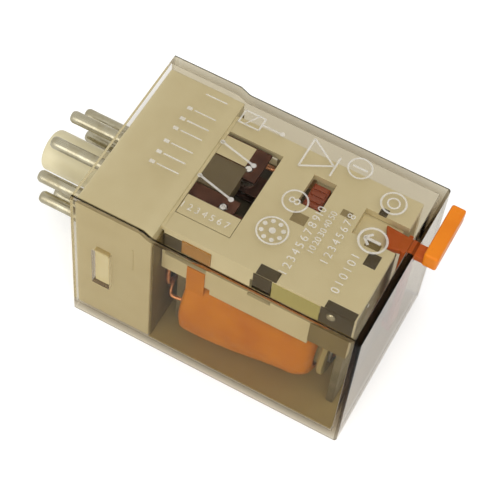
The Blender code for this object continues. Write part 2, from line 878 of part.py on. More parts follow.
def spring_tab_face():
    return CARRIER_START + CARRIER_LENGTH + 2 * FRAME_WALL


def make_return_spring():
    lug_face = armature_back - LUG_THICKNESS
    first = spring_tab_face() + SPRING_LEAD
    last = lug_face - SPRING_LEAD
    axis = Vector((0, lug_line, spring_level))
    steps = int((last - first) / SPRING_PITCH) * SPRING_POINTS_PER_TURN
    turns = []
    for step in range(steps + 1):
        angle = 2 * math.pi * step / SPRING_POINTS_PER_TURN
        ring = Vector((0, math.cos(angle), math.sin(angle))) * SPRING_RADIUS
        turns.append(axis + ring + Vector((first + (last - first) * step / steps, 0, 0)))
    tab_back = spring_tab_face() - FRAME_WALL
    reach = LUG_THICKNESS * 0.8
    start_hook = [
        axis + Vector((tab_back - reach, 0, SPRING_HOOK)),
        axis + Vector((tab_back - reach, 0, 0)),
        axis + Vector((spring_tab_face() + SPRING_LEAD / 3, 0, 0)),
    ]
    end_hook = [
        axis + Vector((lug_face - SPRING_LEAD / 3, 0, 0)),
        axis + Vector((armature_back + reach, 0, 0)),
        axis + Vector((armature_back + reach, 0, SPRING_HOOK)),
    ]
    route = [*start_hook, *turns, *end_hook]
    wire("return_spring", route, SPRING_WIRE, spring_steel, still)
    least = min(
        (one - other).length
        for index, one in enumerate(turns)
        for other in turns[index + SPRING_POINTS_PER_TURN // 2:]
    )
    print(f"return_spring least gap to itself {(least - SPRING_WIRE) / MM:.2f} mm")


def make_wires():
    foot = base_floor + FIT + PIGTAIL_DIAMETER / 2
    outer_line = pigtail_line()
    side_line = outer_line - PIGTAIL_BOW
    level = blade_level + BLADE_THICKNESS / 2
    tab_middle = CARRIER_START - 2 * FIT - BLADE_TAB_LENGTH / 2
    for side, letter, pin in ((1, "a", 1), (-1, "b", 8)):
        where = pin_place(pin)
        stops = [
            (foot, where.y, where.z),
            (foot, (where.y + side * side_line) / 2, where.z),
            (foot, side * outer_line, where.z + PIGTAIL_RISE),
            (foot, side * outer_line, (where.z + level) / 2),
            (foot, side * outer_line, level - PIGTAIL_RISE),
            (foot + PIGTAIL_RISE, side * (side_line + PIGTAIL_BOW / 3), level),
            (foot + 2 * PIGTAIL_RISE, side * side_line, level),
            (tab_middle + BLADE_TAB_LENGTH / 2, side * side_line, level),
        ]
        wire(f"pigtail_{letter}", smooth_route(stops), PIGTAIL_DIAMETER, copper, still, 2)
    lead_start = base_floor + FIT + LEAD_DIAMETER / 2
    lead_cross = base_floor + 2 * FIT + PIGTAIL_DIAMETER + LEAD_DIAMETER / 2
    lead_end = bobbin_start - FIT
    for word, pin, line in (
        ("start", 7, yoke_near - LEAD_OUTSET),
        ("finish", 2, yoke_far + LEAD_OUTSET),
    ):
        where = pin_place(pin)
        stops = [
            (lead_start, where.y, where.z),
            (lead_cross, where.y * 0.85 + line * 0.15, where.z),
            (lead_cross, where.y * 0.4 + line * 0.6, where.z - LEAD_DROP / 3),
            (lead_cross + LEAD_DIAMETER, line, where.z - LEAD_DROP),
            (lead_end, line, where.z - LEAD_DROP),
        ]
        wire(f"coil_lead_{word}", smooth_route(stops), LEAD_DIAMETER, copper, still)


def make_test_lever():
    neck_near, neck_far = LEVER_LINE - LEVER_NECK / 2, LEVER_LINE + LEVER_NECK / 2
    bar_start = COVER_LENGTH + LEVER_GAP
    bar_low = lever_top + LEVER_BAR_RISE - LEVER_BAR_HEIGHT
    lever = box(
        "test_lever",
        (frame_end - FIT, neck_near, lever_bottom),
        (bar_start + LEVER_BAR_DEPTH / 2, neck_far, lever_top),
        orange_plastic,
        sliding,
    )
    fan = box_helper(
        "lever_fan",
        (frame_end - LEVER_FAN_LENGTH, LEVER_LINE - LEVER_FAN / 2, lever_bottom),
        (frame_end - FIT / 2, LEVER_LINE + LEVER_FAN / 2, lever_top),
        sliding,
    )
    bar = box_helper(
        "lever_bar",
        (bar_start, LEVER_BAR_NEAR, bar_low),
        (bar_start + LEVER_BAR_DEPTH, LEVER_BAR_FAR, bar_low + LEVER_BAR_HEIGHT),
        sliding,
    )
    round_edges(bar, LEVER_EDGE)
    nub_level = hinge.z - FINGER_ARM
    finger = box_helper(
        "lever_finger",
        (finger_back - FINGER_THICKNESS, LEVER_LINE - FINGER_WIDTH / 2, nub_level - FINGER_DROP),
        (finger_back, LEVER_LINE + FINGER_WIDTH / 2, lever_top),
        sliding,
    )
    nub = box_helper(
        "lever_nub",
        (armature_back + FIT, LEVER_LINE - FINGER_WIDTH / 2 + SNUG, nub_level - FINGER_NUB / 2),
        (finger_back - FINGER_THICKNESS / 2, armature_far, nub_level + FINGER_NUB / 2),
        sliding,
    )
    join(lever, fan, bar, finger, nub)


clear_scene()
parts = bpy.data.collections.new("plug_in_relay")
cutters = bpy.data.collections.new("cutters")
cutters.hide_render = True
for collection in (parts, cutters):
    bpy.context.scene.collection.children.link(collection)

clear_plastic = material("clear_smoky_plastic", (0.62, 0.50, 0.36), 0.08, alpha=0.35)
cream_plastic = material("cream_plastic", (0.72, 0.64, 0.44), 0.5)
plated_brass = material("plated_brass", (0.70, 0.66, 0.55), 0.3, 1.0)
orange_tape = material("orange_tape", (0.80, 0.30, 0.05), 0.4)
copper = material("copper", (0.72, 0.36, 0.20), 0.35, 1.0)
steel = material("steel", (0.48, 0.47, 0.45), 0.35, 1.0)
spring_bronze = material("spring_bronze", (0.62, 0.46, 0.25), 0.35, 1.0)
spring_steel = material("spring_steel", (0.55, 0.55, 0.55), 0.3, 1.0)
silver = material("silver", (0.80, 0.79, 0.76), 0.25, 1.0)
olive_plastic = material("olive_plastic", (0.16, 0.12, 0.06), 0.5)
rust_plastic = material("rust_plastic", (0.36, 0.09, 0.03), 0.5)
orange_plastic = material("orange_plastic", (0.80, 0.28, 0.02), 0.4)

relay = empty("relay_origin", (centre_shift, 0, 0))
still = {"empty": relay, "offset": Vector((0, 0, 0))}
rocking = {"empty": empty("armature_hinge", hinge, relay), "offset": hinge}
press_point = Vector((COVER_LENGTH, LEVER_LINE, (lever_bottom + lever_top) / 2))
sliding = {"empty": empty("test_lever_slide", press_point, relay), "offset": press_point}

make_cover()
make_base()
make_pins()
make_coil()
make_iron()
make_armature()
make_carrier()
make_fixed_strips()
make_frame()
make_return_spring()
make_wires()
make_test_lever()

for piece in parts.objects:
    if piece.type == "MESH":
        piece.data.shade_smooth()
        piece.data.set_sharp_from_angle(angle=math.radians(35))
print(f"seat face x {(seat_face + centre_shift) / MM:.3f} mm, rim x {centre_shift / MM:.3f} mm")
print(f"hinge x {(hinge.x + centre_shift) / MM:.3f} mm, z {hinge.z / MM:.3f} mm")
print(f"armature turn {math.degrees(close_angle):.3f} degrees for {PRESS_TRAVEL / MM:.2f} mm of press")
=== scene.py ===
import json
from math import atan2, copysign, cos, hypot, pi, radians, sin, sqrt

import bmesh
import bpy
from mathutils import Matrix, Vector, noise

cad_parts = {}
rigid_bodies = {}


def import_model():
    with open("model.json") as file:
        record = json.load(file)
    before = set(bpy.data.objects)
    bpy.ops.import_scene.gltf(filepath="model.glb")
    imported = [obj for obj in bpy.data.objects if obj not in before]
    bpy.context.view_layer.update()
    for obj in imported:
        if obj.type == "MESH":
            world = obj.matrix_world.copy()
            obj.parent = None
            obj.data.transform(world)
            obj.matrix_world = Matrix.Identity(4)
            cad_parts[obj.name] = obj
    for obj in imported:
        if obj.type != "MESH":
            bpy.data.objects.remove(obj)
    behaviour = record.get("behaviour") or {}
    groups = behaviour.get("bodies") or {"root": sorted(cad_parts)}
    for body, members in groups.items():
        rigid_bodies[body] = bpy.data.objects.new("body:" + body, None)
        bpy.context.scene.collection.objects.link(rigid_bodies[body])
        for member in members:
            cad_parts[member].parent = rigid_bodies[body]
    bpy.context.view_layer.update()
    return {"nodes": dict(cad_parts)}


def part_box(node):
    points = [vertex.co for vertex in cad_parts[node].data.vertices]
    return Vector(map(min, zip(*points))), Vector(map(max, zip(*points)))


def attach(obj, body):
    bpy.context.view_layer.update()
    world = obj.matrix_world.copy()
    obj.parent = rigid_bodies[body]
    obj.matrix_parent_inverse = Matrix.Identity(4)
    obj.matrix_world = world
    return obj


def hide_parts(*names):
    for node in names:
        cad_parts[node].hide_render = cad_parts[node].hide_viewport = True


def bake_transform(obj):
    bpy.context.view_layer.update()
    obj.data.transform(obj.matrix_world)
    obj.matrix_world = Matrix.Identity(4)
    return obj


ops = bmesh.ops
for leftover in list(bpy.data.objects):
    bpy.data.objects.remove(leftover, do_unlink=True)

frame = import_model()
print("frame loaded,", len(frame["nodes"]), "nodes")

# Forms are drawn in millimetres from the cover's rim (u), the middle line (y) and the floor (z).
mm = 0.001
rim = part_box("cover")[0].x
toFrame = Matrix.Translation((rim, 0, 0)) @ Matrix.Scale(mm, 4)
fromFrame = toFrame.inverted()


def boxOf(node):
    low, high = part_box(node)
    return fromFrame @ low, fromFrame @ high


# Form helpers
def edgesOf(verts):
    return list({edge for vert in verts for edge in vert.link_edges})


def newFaces(form, before, slot=0):
    made = [face for face in form.faces if face not in before]
    for face in made:
        face.material_index = slot
    return made


def roundEdges(form, edges, width, steps=3):
    ops.bevel(form, geom=edges, offset=width, offset_type="OFFSET", segments=steps, profile=0.5,
              affect="EDGES", material=-1, clamp_overlap=True)


def addBox(form, low, high, edge=0.0, slot=0, steps=3):
    low, high = Vector(low), Vector(high)
    before = set(form.faces)
    size = Matrix.Diagonal((*(high - low), 1.0))
    verts = ops.create_cube(form, size=1.0, matrix=Matrix.Translation((low + high) / 2) @ size)["verts"]
    if edge:
        roundEdges(form, edgesOf(verts), edge, steps)
    return newFaces(form, before, slot)


def addTurned(form, profile, line, level, steps=64, slot=0, closed=False):
    # Spins a chain of (u, radius) points about an axis along u.
    before = set(form.faces)
    chain = [form.verts.new((u, line + radius, level)) for u, radius in profile]
    pairs = list(zip(chain, chain[1:]))
    if closed:
        pairs.append((chain[-1], chain[0]))
    edges = [form.edges.new(pair) for pair in pairs]
    ops.spin(form, geom=chain + edges, cent=(0, line, level), axis=(1, 0, 0), dvec=(0, 0, 0),
             angle=2 * pi, steps=steps, use_merge=True)
    verts = list({vert for face in newFaces(form, before) for vert in face.verts})
    ops.remove_doubles(form, verts=verts, dist=1e-4)
    ops.recalc_face_normals(form, faces=newFaces(form, before, slot))


def quarterArc(steps):
    turns = [pi / 2 * step / steps for step in range(steps + 1)]
    return [(sin(turn), cos(turn)) for turn in turns]


def addRidges(form, look, ends, start):
    # A row of low ridges along y.
    for index in range(look["ridges"]):
        line = start + index * look["ridgeStep"]
        addBox(form, *zip(ends, (line, line + look["ridgeWidth"]), look["ridgeLevels"]), look["ridgeEdge"])


finishes = {}


def addObject(name, data):
    made = bpy.data.objects.new(name, data)
    bpy.context.scene.collection.objects.link(made)
    return made


def meshObject(name, form, looks):
    mesh = bpy.data.meshes.new(name)
    form.to_mesh(mesh)
    form.free()
    for look in looks:
        mesh.materials.append(finishes[look])
    return addObject(name, mesh)


def finishPiece(name, form, looks, replaced=(), body="housing", smoothAngle=38):
    ops.transform(form, matrix=toFrame, verts=form.verts)
    piece = meshObject(name, form, looks)
    if smoothAngle:
        piece.data.shade_smooth()
        piece.data.set_sharp_from_angle(angle=radians(smoothAngle))
        piece.modifiers.new("evenShade", "WEIGHTED_NORMAL").keep_sharp = True
    if body:
        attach(piece, body)
    if replaced:
        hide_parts(*replaced)
    return piece


def boxPiece(name, boxes, look):
    form = bmesh.new()
    for low, high, edge in boxes:
        addBox(form, low, high, edge)
    finishPiece(name, form, [look])


# Shader helpers
def addNode(tree, kind, **values):
    made = tree.nodes.new("ShaderNode" + kind)
    for key, value in values.items():
        setattr(made, key, value)
    return made


def feed(socket, value):
    # Links a socket or sets a plain value. Colours are given without alpha.
    if isinstance(value, bpy.types.NodeSocket):
        socket.id_data.links.new(value, socket)
    else:
        socket.default_value = (*value, 1.0) if socket.type == "RGBA" else value


def setInputs(node, **values):
    for key, value in values.items():
        feed(node.inputs[key.replace("_", " ")], value)


socketKinds = {"v": "NodeSocketVector", "c": "NodeSocketColor", "f": "NodeSocketFloat"}
skinOutputs = dict(Colour="c", Roughness="f", Height="f")


def newGroup(name, inputs, outputs):
    group = bpy.data.node_groups.new(name, "ShaderNodeTree")
    for sockets, side in ((inputs, "INPUT"), (outputs, "OUTPUT")):
        for label, kind in sockets.items():
            group.interface.new_socket(label, in_out=side, socket_type=socketKinds[kind])
    return group, group.nodes.new("NodeGroupInput").outputs, group.nodes.new("NodeGroupOutput")


def addNoise(tree, vector, scale, detail=2.0, roughness=0.5):
    made = addNode(tree, "TexNoise")
    setInputs(made, Vector=vector, Scale=scale, Detail=detail, Roughness=roughness)
    return made.outputs["Fac"]


def addRange(tree, value, low, high, toLow, toHigh):
    made = addNode(tree, "MapRange", clamp=True)
    setInputs(made, Value=value, From_Min=low, From_Max=high, To_Min=toLow, To_Max=toHigh)
    return made.outputs["Result"]


def addCloud(tree, vector, grain, span):
    # Noise with its grain (scale, detail, roughness), put in a span (from, from, to, to).
    return addRange(tree, addNoise(tree, vector, *grain), *span)


def addMath(tree, operation, *values):
    made = addNode(tree, "Math", operation=operation)
    for socket, value in zip(made.inputs, values):
        feed(socket, value)
    return made.outputs[0]


def addMix(tree, factor, first, second):
    made = addNode(tree, "Mix", data_type="RGBA")
    for index, value in ((0, factor), (6, first), (7, second)):
        feed(made.inputs[index], value)
    return made.outputs[2]


def addStretch(tree, vector, scale, turn=0.0):
    made = addNode(tree, "Mapping")
    setInputs(made, Vector=vector, Rotation=(turn, turn, turn), Scale=scale)
    return made.outputs["Vector"]


def addBump(tree, height, depth, strength):
    made = addNode(tree, "Bump")
    setInputs(made, Height=height, Distance=depth, Strength=strength)
    return made.outputs["Normal"]


def addGroup(tree, group, **values):
    made = addNode(tree, "Group", node_tree=group)
    setInputs(made, **values)
    return made.outputs


# Moulded plastic: cloudy colour, a fine sparked grain and an uneven gloss.
mouldLook = dict(
    cloud=((160.0, 3.0, 0.6), (0.35, 0.75, 0.0, 0.6)),
    speck=((1400.0, 2.0), (0.62, 0.75, 0.0, 0.35)),
    patch=((380.0, 4.0), (0.3, 0.7, -0.09, 0.09)),
    grain=(7000.0, 2.0), sink=(120.0, 1.0), sinkShare=4.0, bump=(0.00002, 0.35),
)


def makeMouldGroup():
    group, given, end = newGroup(
        "mouldedSkin", {"Vector": "v", "Colour": "c", "Shade Colour": "c", "Gloss": "f"}, skinOutputs)
    vector = given["Vector"]
    cloud, speck, patch = (addCloud(group, vector, *mouldLook[word]) for word in ("cloud", "speck", "patch"))
    shade = addMath(group, "MAXIMUM", cloud, speck)
    sink = addMath(group, "MULTIPLY", addNoise(group, vector, *mouldLook["sink"]), mouldLook["sinkShare"])
    setInputs(end, Colour=addMix(group, shade, given["Colour"], given["Shade Colour"]),
              Roughness=addMath(group, "ADD", given["Gloss"], patch),
              Height=addMath(group, "ADD", addNoise(group, vector, *mouldLook["grain"]), sink))
    return group


# Rolled or drawn metal: fine lines along one way, with tarnish in patches.
metalLook = dict(
    lines=(1.0, 3.0, 0.6), uneven=(0.3, 0.7, -0.08, 0.08),
    patch=((260.0, 4.0, 0.65), (0.42, 0.72, 0.0, 1.0)), dull=0.22, bump=(0.00001, 0.25),
)


def makeMetalGroup():
    inputs = {"Vector": "v", "Lines": "v", "Colour": "c", "Tarnish": "c", "Gloss": "f", "Spread": "f"}
    group, given, end = newGroup("drawnMetal", inputs, skinOutputs)
    lines = addNoise(group, given["Lines"], *metalLook["lines"])
    patch = addCloud(group, given["Vector"], *metalLook["patch"])
    stain = addMath(group, "MULTIPLY", patch, given["Spread"])
    rough = addMath(group, "ADD", given["Gloss"], addRange(group, lines, *metalLook["uneven"]))
    dull = addMath(group, "MULTIPLY", stain, metalLook["dull"])
    setInputs(end, Colour=addMix(group, stain, given["Colour"], given["Tarnish"]),
              Roughness=addMath(group, "ADD", rough, dull), Height=lines)
    return group


# Handled gloss: smudges and hairline scratches. Scratches are (turn, stretch).
handledLook = dict(
    smudge=((95.0, 5.0, 0.6), (0.48, 0.75, 0.0, 1.0)), hair=((1.0, 2.0), (0.70, 0.78, 0.0, 1.0)),
    scratches=((0.5, (40.0, 2600.0, 2600.0)), (-0.9, (2200.0, 60.0, 2200.0))),
)


def makeHandledGroup():
    group, given, end = newGroup("handledGloss", {"Vector": "v", "Gloss": "f", "Marks": "f"},
                                 {"Roughness": "f", "Height": "f"})
    vector = given["Vector"]
    smudge = addCloud(group, vector, *handledLook["smudge"])
    hair = addMath(group, "MAXIMUM", *(
        addCloud(group, addStretch(group, vector, stretch, turn), *handledLook["hair"])
        for turn, stretch in handledLook["scratches"]
    ))
    marks = addMath(group, "MULTIPLY", addMath(group, "MAXIMUM", hair, smudge), given["Marks"])
    setInputs(end, Roughness=addMath(group, "ADD", given["Gloss"], marks), Height=hair)
    return group


mouldGroup = makeMouldGroup()
metalGroup = makeMetalGroup()
handledGroup = makeHandledGroup()


def newFinish(name):
    finish = finishes[name] = bpy.data.materials.new(name)
    finish.use_nodes = True
    tree = finish.node_tree
    return tree, tree.nodes["Principled BSDF"], addNode(tree, "TexCoord").outputs["Object"]


# Mouldings are (colour, shade, gloss); metals are (colour, tarnish, gloss, spread, lines).
mouldings = dict(
    creamMoulding=((0.74, 0.665, 0.43), (0.66, 0.575, 0.345), 0.45),
    # The hook moulding is a darker cream: painted shade for the latch hooks recessed in their windows.
    hookShadeMoulding=((0.54, 0.44, 0.215), (0.47, 0.375, 0.17), 0.45),
    # The skirt and shade boards are painted shade, for plates put where the frame lies in shade.
    skirtShade=((0.44, 0.39, 0.135), (0.38, 0.33, 0.11), 0.5),
    shadeBoard=((0.31, 0.245, 0.12), (0.26, 0.20, 0.095), 0.55),
    oliveMoulding=((0.15, 0.115, 0.055), (0.09, 0.065, 0.03), 0.4),
    rustMoulding=((0.30, 0.062, 0.018), (0.19, 0.04, 0.014), 0.4),
    amberVarnish=((0.42, 0.20, 0.035), (0.26, 0.11, 0.02), 0.22),
    pressBoard=((0.40, 0.315, 0.125), (0.33, 0.25, 0.09), 0.6),
    # The dark moulding and olive board are painted shade, for sheets and plates put where slots, hollows and
    # the contact window lie in shade.
    shadowDarkMoulding=((0.062, 0.045, 0.016), (0.035, 0.024, 0.01), 0.5),
    oliveShadeBoard=((0.23, 0.17, 0.055), (0.16, 0.115, 0.04), 0.6),
)
metals = dict(
    tinnedPin=((0.41, 0.375, 0.27), (0.26, 0.215, 0.12), 0.27, 0.9, (250, 9000, 9000)),
    solderTip=((0.66, 0.65, 0.62), (0.42, 0.40, 0.36), 0.34, 0.8, (900, 900, 900)),
    zincSteel=((0.29, 0.255, 0.16), (0.215, 0.185, 0.11), 0.45, 0.9, (300, 5000, 7000)),
    # The bronze is darkened to near brown: painted shade for the shaded contact window, on top of the strips'
    # tarnish.
    bronzeStrip=((0.12, 0.056, 0.036), (0.05, 0.024, 0.018), 0.42, 1.0, (200, 6000, 6000)),
    springWire=((0.62, 0.61, 0.58), (0.35, 0.32, 0.28), 0.26, 0.6, (900, 9000, 9000)),
    silverFace=((0.86, 0.85, 0.82), (0.50, 0.45, 0.38), 0.22, 0.7, (1500, 1500, 6000)),
    enamelCopper=((0.72, 0.33, 0.16), (0.42, 0.15, 0.07), 0.3, 0.7, (800, 8000, 8000)),
    softIron=((0.50, 0.49, 0.47), (0.30, 0.27, 0.22), 0.36, 0.7, (2500, 2500, 2500)),
)
for name, (colour, shade, gloss) in mouldings.items():
    tree, shader, place = newFinish(name)
    skin = addGroup(tree, mouldGroup, Vector=place, Colour=colour, Shade_Colour=shade, Gloss=gloss)
    setInputs(shader, Base_Color=skin["Colour"], Roughness=skin["Roughness"],
              Normal=addBump(tree, skin["Height"], *mouldLook["bump"]))
for name, (colour, tarnish, gloss, spread, lines) in metals.items():
    tree, shader, place = newFinish(name)
    skin = addGroup(tree, metalGroup, Vector=place, Lines=addStretch(tree, place, lines), Colour=colour,
                    Tarnish=tarnish, Gloss=gloss, Spread=spread)
    setInputs(shader, Base_Color=skin["Colour"], Roughness=skin["Roughness"], Metallic=1.0,
              Normal=addBump(tree, skin["Height"], *metalLook["bump"]))

leverLook = dict(
    orangeLever=((0.80, 0.235, 0.012), (0.66, 0.165, 0.008)),
    # The redder lever is a darker copy of the orange for the parts inside the cover: painted shade.
    shadedInnerLever=((0.50, 0.10, 0.012), (0.40, 0.07, 0.008)),
    gloss=0.3, marks=0.14, specular=0.15, bump=(0.00002, 0.3),
    through=0.15, throughRadius=(1.0, 0.35, 0.1), throughScale=0.0006,
)


def makeLeverFinish(name):
    # Orange plastic, a little see-through at its edges, with handling marks.
    tree, shader, place = newFinish(name)
    (colour, shade), gloss = leverLook[name], leverLook["gloss"]
    skin = addGroup(tree, mouldGroup, Vector=place, Colour=colour, Shade_Colour=shade, Gloss=gloss)
    marks = addGroup(tree, handledGroup, Vector=place, Gloss=0.0, Marks=leverLook["marks"])
    setInputs(shader, Base_Color=skin["Colour"], Specular_IOR_Level=leverLook["specular"],
              Roughness=addMath(tree, "ADD", skin["Roughness"], marks["Roughness"]),
              Subsurface_Weight=leverLook["through"], Subsurface_Radius=leverLook["throughRadius"],
              Subsurface_Scale=leverLook["throughScale"],
              Normal=addBump(tree, skin["Height"], *leverLook["bump"]))


tapeLook = dict(
    cloud=((130.0, 4.0, 0.6), (0.35, 0.72, 0.0, 1.0)),
    tones=((0.74, 0.262, 0.016), (0.60, 0.175, 0.008)),
    stretch=(70.0, 620.0, 620.0), crease=(1.0, 3.0, 0.55), bump=(0.0002, 0.5),
    gloss=0.3, marks=0.12, specular=0.08,
)


def makeTapeFinish():
    # Cloudy polyester tape, with drawn creases along the coil.
    tree, shader, place = newFinish("orangeTape")
    cloud = addCloud(tree, place, *tapeLook["cloud"])
    crease = addNoise(tree, addStretch(tree, place, tapeLook["stretch"]), *tapeLook["crease"])
    marks = addGroup(tree, handledGroup, Vector=place, Gloss=tapeLook["gloss"], Marks=tapeLook["marks"])
    setInputs(shader, Base_Color=addMix(tree, cloud, *tapeLook["tones"]), Roughness=marks["Roughness"],
              Specular_IOR_Level=tapeLook["specular"], Normal=addBump(tree, crease, *tapeLook["bump"]))


# The edge tint darkens the cover's rounded edges: painted shade for the dark lines that clear edges show.
coverLook = dict(
    absorb=(0.64, 0.57, 0.46), density=260.0, ior=1.12, lampTint=(0.96, 0.95, 0.915),
    # The side tint is painted shade on the side walls, full on the far wall and the near share of it on the
    # near wall.
    edgeShadeTint=(0.30, 0.26, 0.19), sideShadeTint=(0.70, 0.63, 0.42), nearShadeShare=0.57,
    gloss=0.012, marks=0.05, bump=(0.000004, 0.15),
)


def makeCoverFinish():
    # Smoky clear plastic. Lamps and soft light pass it straight, so what is inside is lit.
    tree, shader, place = newFinish("smokyClear")
    marks = addGroup(tree, handledGroup, Vector=place, Gloss=coverLook["gloss"], Marks=coverLook["marks"])
    sideShadeMask, edgeShadeMask = (addNode(tree, "Attribute", attribute_name=word).outputs["Fac"]
                      for word in ("paintedSideShade", "paintedEdgeShade"))
    # Painted shade: the side walls take a darker, yellower tint.
    tint = addMix(tree, sideShadeMask, (1.0, 1.0, 1.0), coverLook["sideShadeTint"])
    # Painted shade: the rounded edges take the dark edge tint.
    tint = addMix(tree, edgeShadeMask, tint, coverLook["edgeShadeTint"])
    setInputs(shader, Base_Color=tint, Roughness=marks["Roughness"], Transmission_Weight=1.0,
              IOR=coverLook["ior"], Normal=addBump(tree, marks["Height"], *coverLook["bump"]))
    path = addNode(tree, "LightPath").outputs
    passing = addMath(tree, "MAXIMUM", path["Is Shadow Ray"], path["Is Diffuse Ray"])
    clear = addNode(tree, "BsdfTransparent")
    setInputs(clear, Color=coverLook["lampTint"])
    mixed = addNode(tree, "MixShader")
    for socket, source in zip(mixed.inputs, (passing, shader.outputs[0], clear.outputs[0])):
        feed(socket, source)
    smoke = addNode(tree, "VolumeAbsorption")
    setInputs(smoke, Color=coverLook["absorb"], Density=coverLook["density"])
    setInputs(tree.nodes["Material Output"], Surface=mixed.outputs[0], Volume=smoke.outputs[0])


inkLook = dict(
    thin=((900.0, 4.0, 0.65), (0.3, 0.7, 0.62, 0.34)), tone=((300.0, 2.0), (0.3, 0.7, 0.0, 1.0)),
    tones=((0.80, 0.77, 0.71), (0.70, 0.66, 0.58)), gloss=0.6,
)


def makeInkFinish():
    # Screen-printed white ink, thin and a little worn.
    tree, shader, place = newFinish("whiteInk")
    tone = addCloud(tree, place, *inkLook["tone"])
    setInputs(shader, Alpha=addCloud(tree, place, *inkLook["thin"]), Roughness=inkLook["gloss"],
              Base_Color=addMix(tree, tone, *inkLook["tones"]))


for name in ("orangeLever", "shadedInnerLever"):
    makeLeverFinish(name)
makeTapeFinish()
makeCoverFinish()
makeInkFinish()
print("finishes made")


# Cover: an outer and an inner shell, both higher over the band, joined at the rim and through each window.
cover = dict(
    wall=1.3, endWall=1.4, corner=0.5, innerCorner=0.12, cornerSteps=6,
    bandEnd=15.5, ramp=1.9, bandRise=1.2, inkRoom=0.04,
    latchWindow=((4.0, 0, 13.2), (7.6, 0, 24.0)),
    leverWindow=((0, 3.1, 32.6), (0, 6.5, 34.5)),
)
coverHigh = boxOf("cover")[1]
bandHeight = coverHigh.z - cover["inkRoom"]
faceHeight = coverHigh.z - cover["bandRise"]


def splitFaces(form, faces, axis, value):
    parts = {item for face in faces for item in (*face.verts, *face.edges)}
    place, way = Vector((0, 0, 0)), Vector((0, 0, 0))
    place[axis], way[axis] = value, 1.0
    ops.bisect_plane(form, geom=[*parts, *faces], plane_co=place, plane_no=way, dist=1e-5)


def openShell(form, stations, corner):
    # A closed-ended tube of square section: each station is (u, half width, floor, roof), the first one open.
    (start, half, bottom, top), end = stations[0], stations[-1][0]
    before, middle = set(form.faces), (bottom + top) / 2
    addBox(form, (start, -half, bottom), (end, half, top))
    for u, *_ in stations[1:-1]:
        splitFaces(form, newFaces(form, before), 0, u)
    made = newFaces(form, before)
    for vert in {vert for face in made for vert in face.verts}:
        half, bottom, top = min(stations, key=lambda station: abs(station[0] - vert.co.x))[1:]
        vert.co.y = copysign(half, vert.co.y)
        vert.co.z = top if vert.co.z > middle else bottom
    form.normal_update()
    mouth = [face for face in made if face.normal.x < -0.99]
    ops.delete(form, geom=mouth, context="FACES_ONLY")
    made = [face for face in made if face.is_valid]
    edges = {edge for face in made for edge in face.edges
             if len(edge.link_faces) == 2 and edge.calc_face_angle(0.0) > 0.05}
    roundEdges(form, list(edges), corner, cover["cornerSteps"])
    return newFaces(form, before)


def wallFaces(form, axis, plane):
    return [
        face for face in form.faces
        if abs(face.normal[axis]) > 0.99 and abs(face.calc_center_median()[axis] - plane) < 0.01
    ]


def cutWindow(form, axis, planes, low, high):
    # Cuts the same rectangle in two parallel walls and joins the two openings.
    across = [index for index in range(3) if index != axis]
    loops = []
    for plane in planes:
        form.normal_update()
        for index in across:
            for value in (low[index], high[index]):
                splitFaces(form, wallFaces(form, axis, plane), index, value)
        hole = [
            face for face in wallFaces(form, axis, plane)
            if all(low[index] < face.calc_center_median()[index] < high[index] for index in across)
        ]
        loops.append([edge for face in hole for edge in face.edges])
        ops.delete(form, geom=hole, context="FACES_ONLY")
    drawn = ops.extrude_edge_only(form, edges=loops[0])["geom"]
    through = Vector((0, 0, 0))
    through[axis] = planes[1] - planes[0]
    verts = [item for item in drawn if isinstance(item, bmesh.types.BMVert)]
    ops.translate(form, vec=through, verts=verts)
    inner = list({vert for edge in loops[1] for vert in edge.verts})
    ops.remove_doubles(form, verts=verts + inner, dist=1e-3)


def makeCover():
    form = bmesh.new()
    wall, endWall, half, length = cover["wall"], cover["endWall"], coverHigh.y, coverHigh.x
    step, start, slim = cover["bandEnd"], cover["bandEnd"] - cover["ramp"], half - wall
    roof = ((0, bandHeight), (start, bandHeight), (step, faceHeight))
    outer = [(u, half, 0, top) for u, top in (*roof, (length, faceHeight))]
    openShell(form, outer, cover["corner"])
    inner = [(u, slim, wall, top - wall) for u, top in (*roof, (length - endWall, faceHeight))]
    inside = openShell(form, inner, cover["innerCorner"])
    ops.reverse_faces(form, faces=inside)
    ops.bridge_loops(form, edges=[edge for edge in form.edges if edge.is_boundary])
    for side in (-1, 1):
        cutWindow(form, 1, (side * half, side * slim), *cover["latchWindow"])
    cutWindow(form, 0, (length, length - endWall), *cover["leverWindow"])
    form.normal_update()
    edgeShadeMask = form.faces.layers.float.new("paintedEdgeShade")
    sideShadeMask = form.faces.layers.float.new("paintedSideShade")
    for face in form.faces:
        middle = face.calc_center_median()
        onRamp = abs(face.normal.y) < 0.01 and middle.x < step + 1
        # Marks the rounded edges, off the ramp, for the painted edge shade.
        face[edgeShadeMask] = float(max(abs(part) for part in face.normal) < 0.999 and not onRamp)
        # Marks the side walls for the painted side shade, weaker on the near wall.
        if abs(middle.y) > half - 0.01:
            face[sideShadeMask] = 1.0 if middle.y > 0 else coverLook["nearShadeShare"]
    finishPiece("cover_shell", form, ["smokyClear"], ("cover",), smoothAngle=0)


makeCover()
print("cover made")


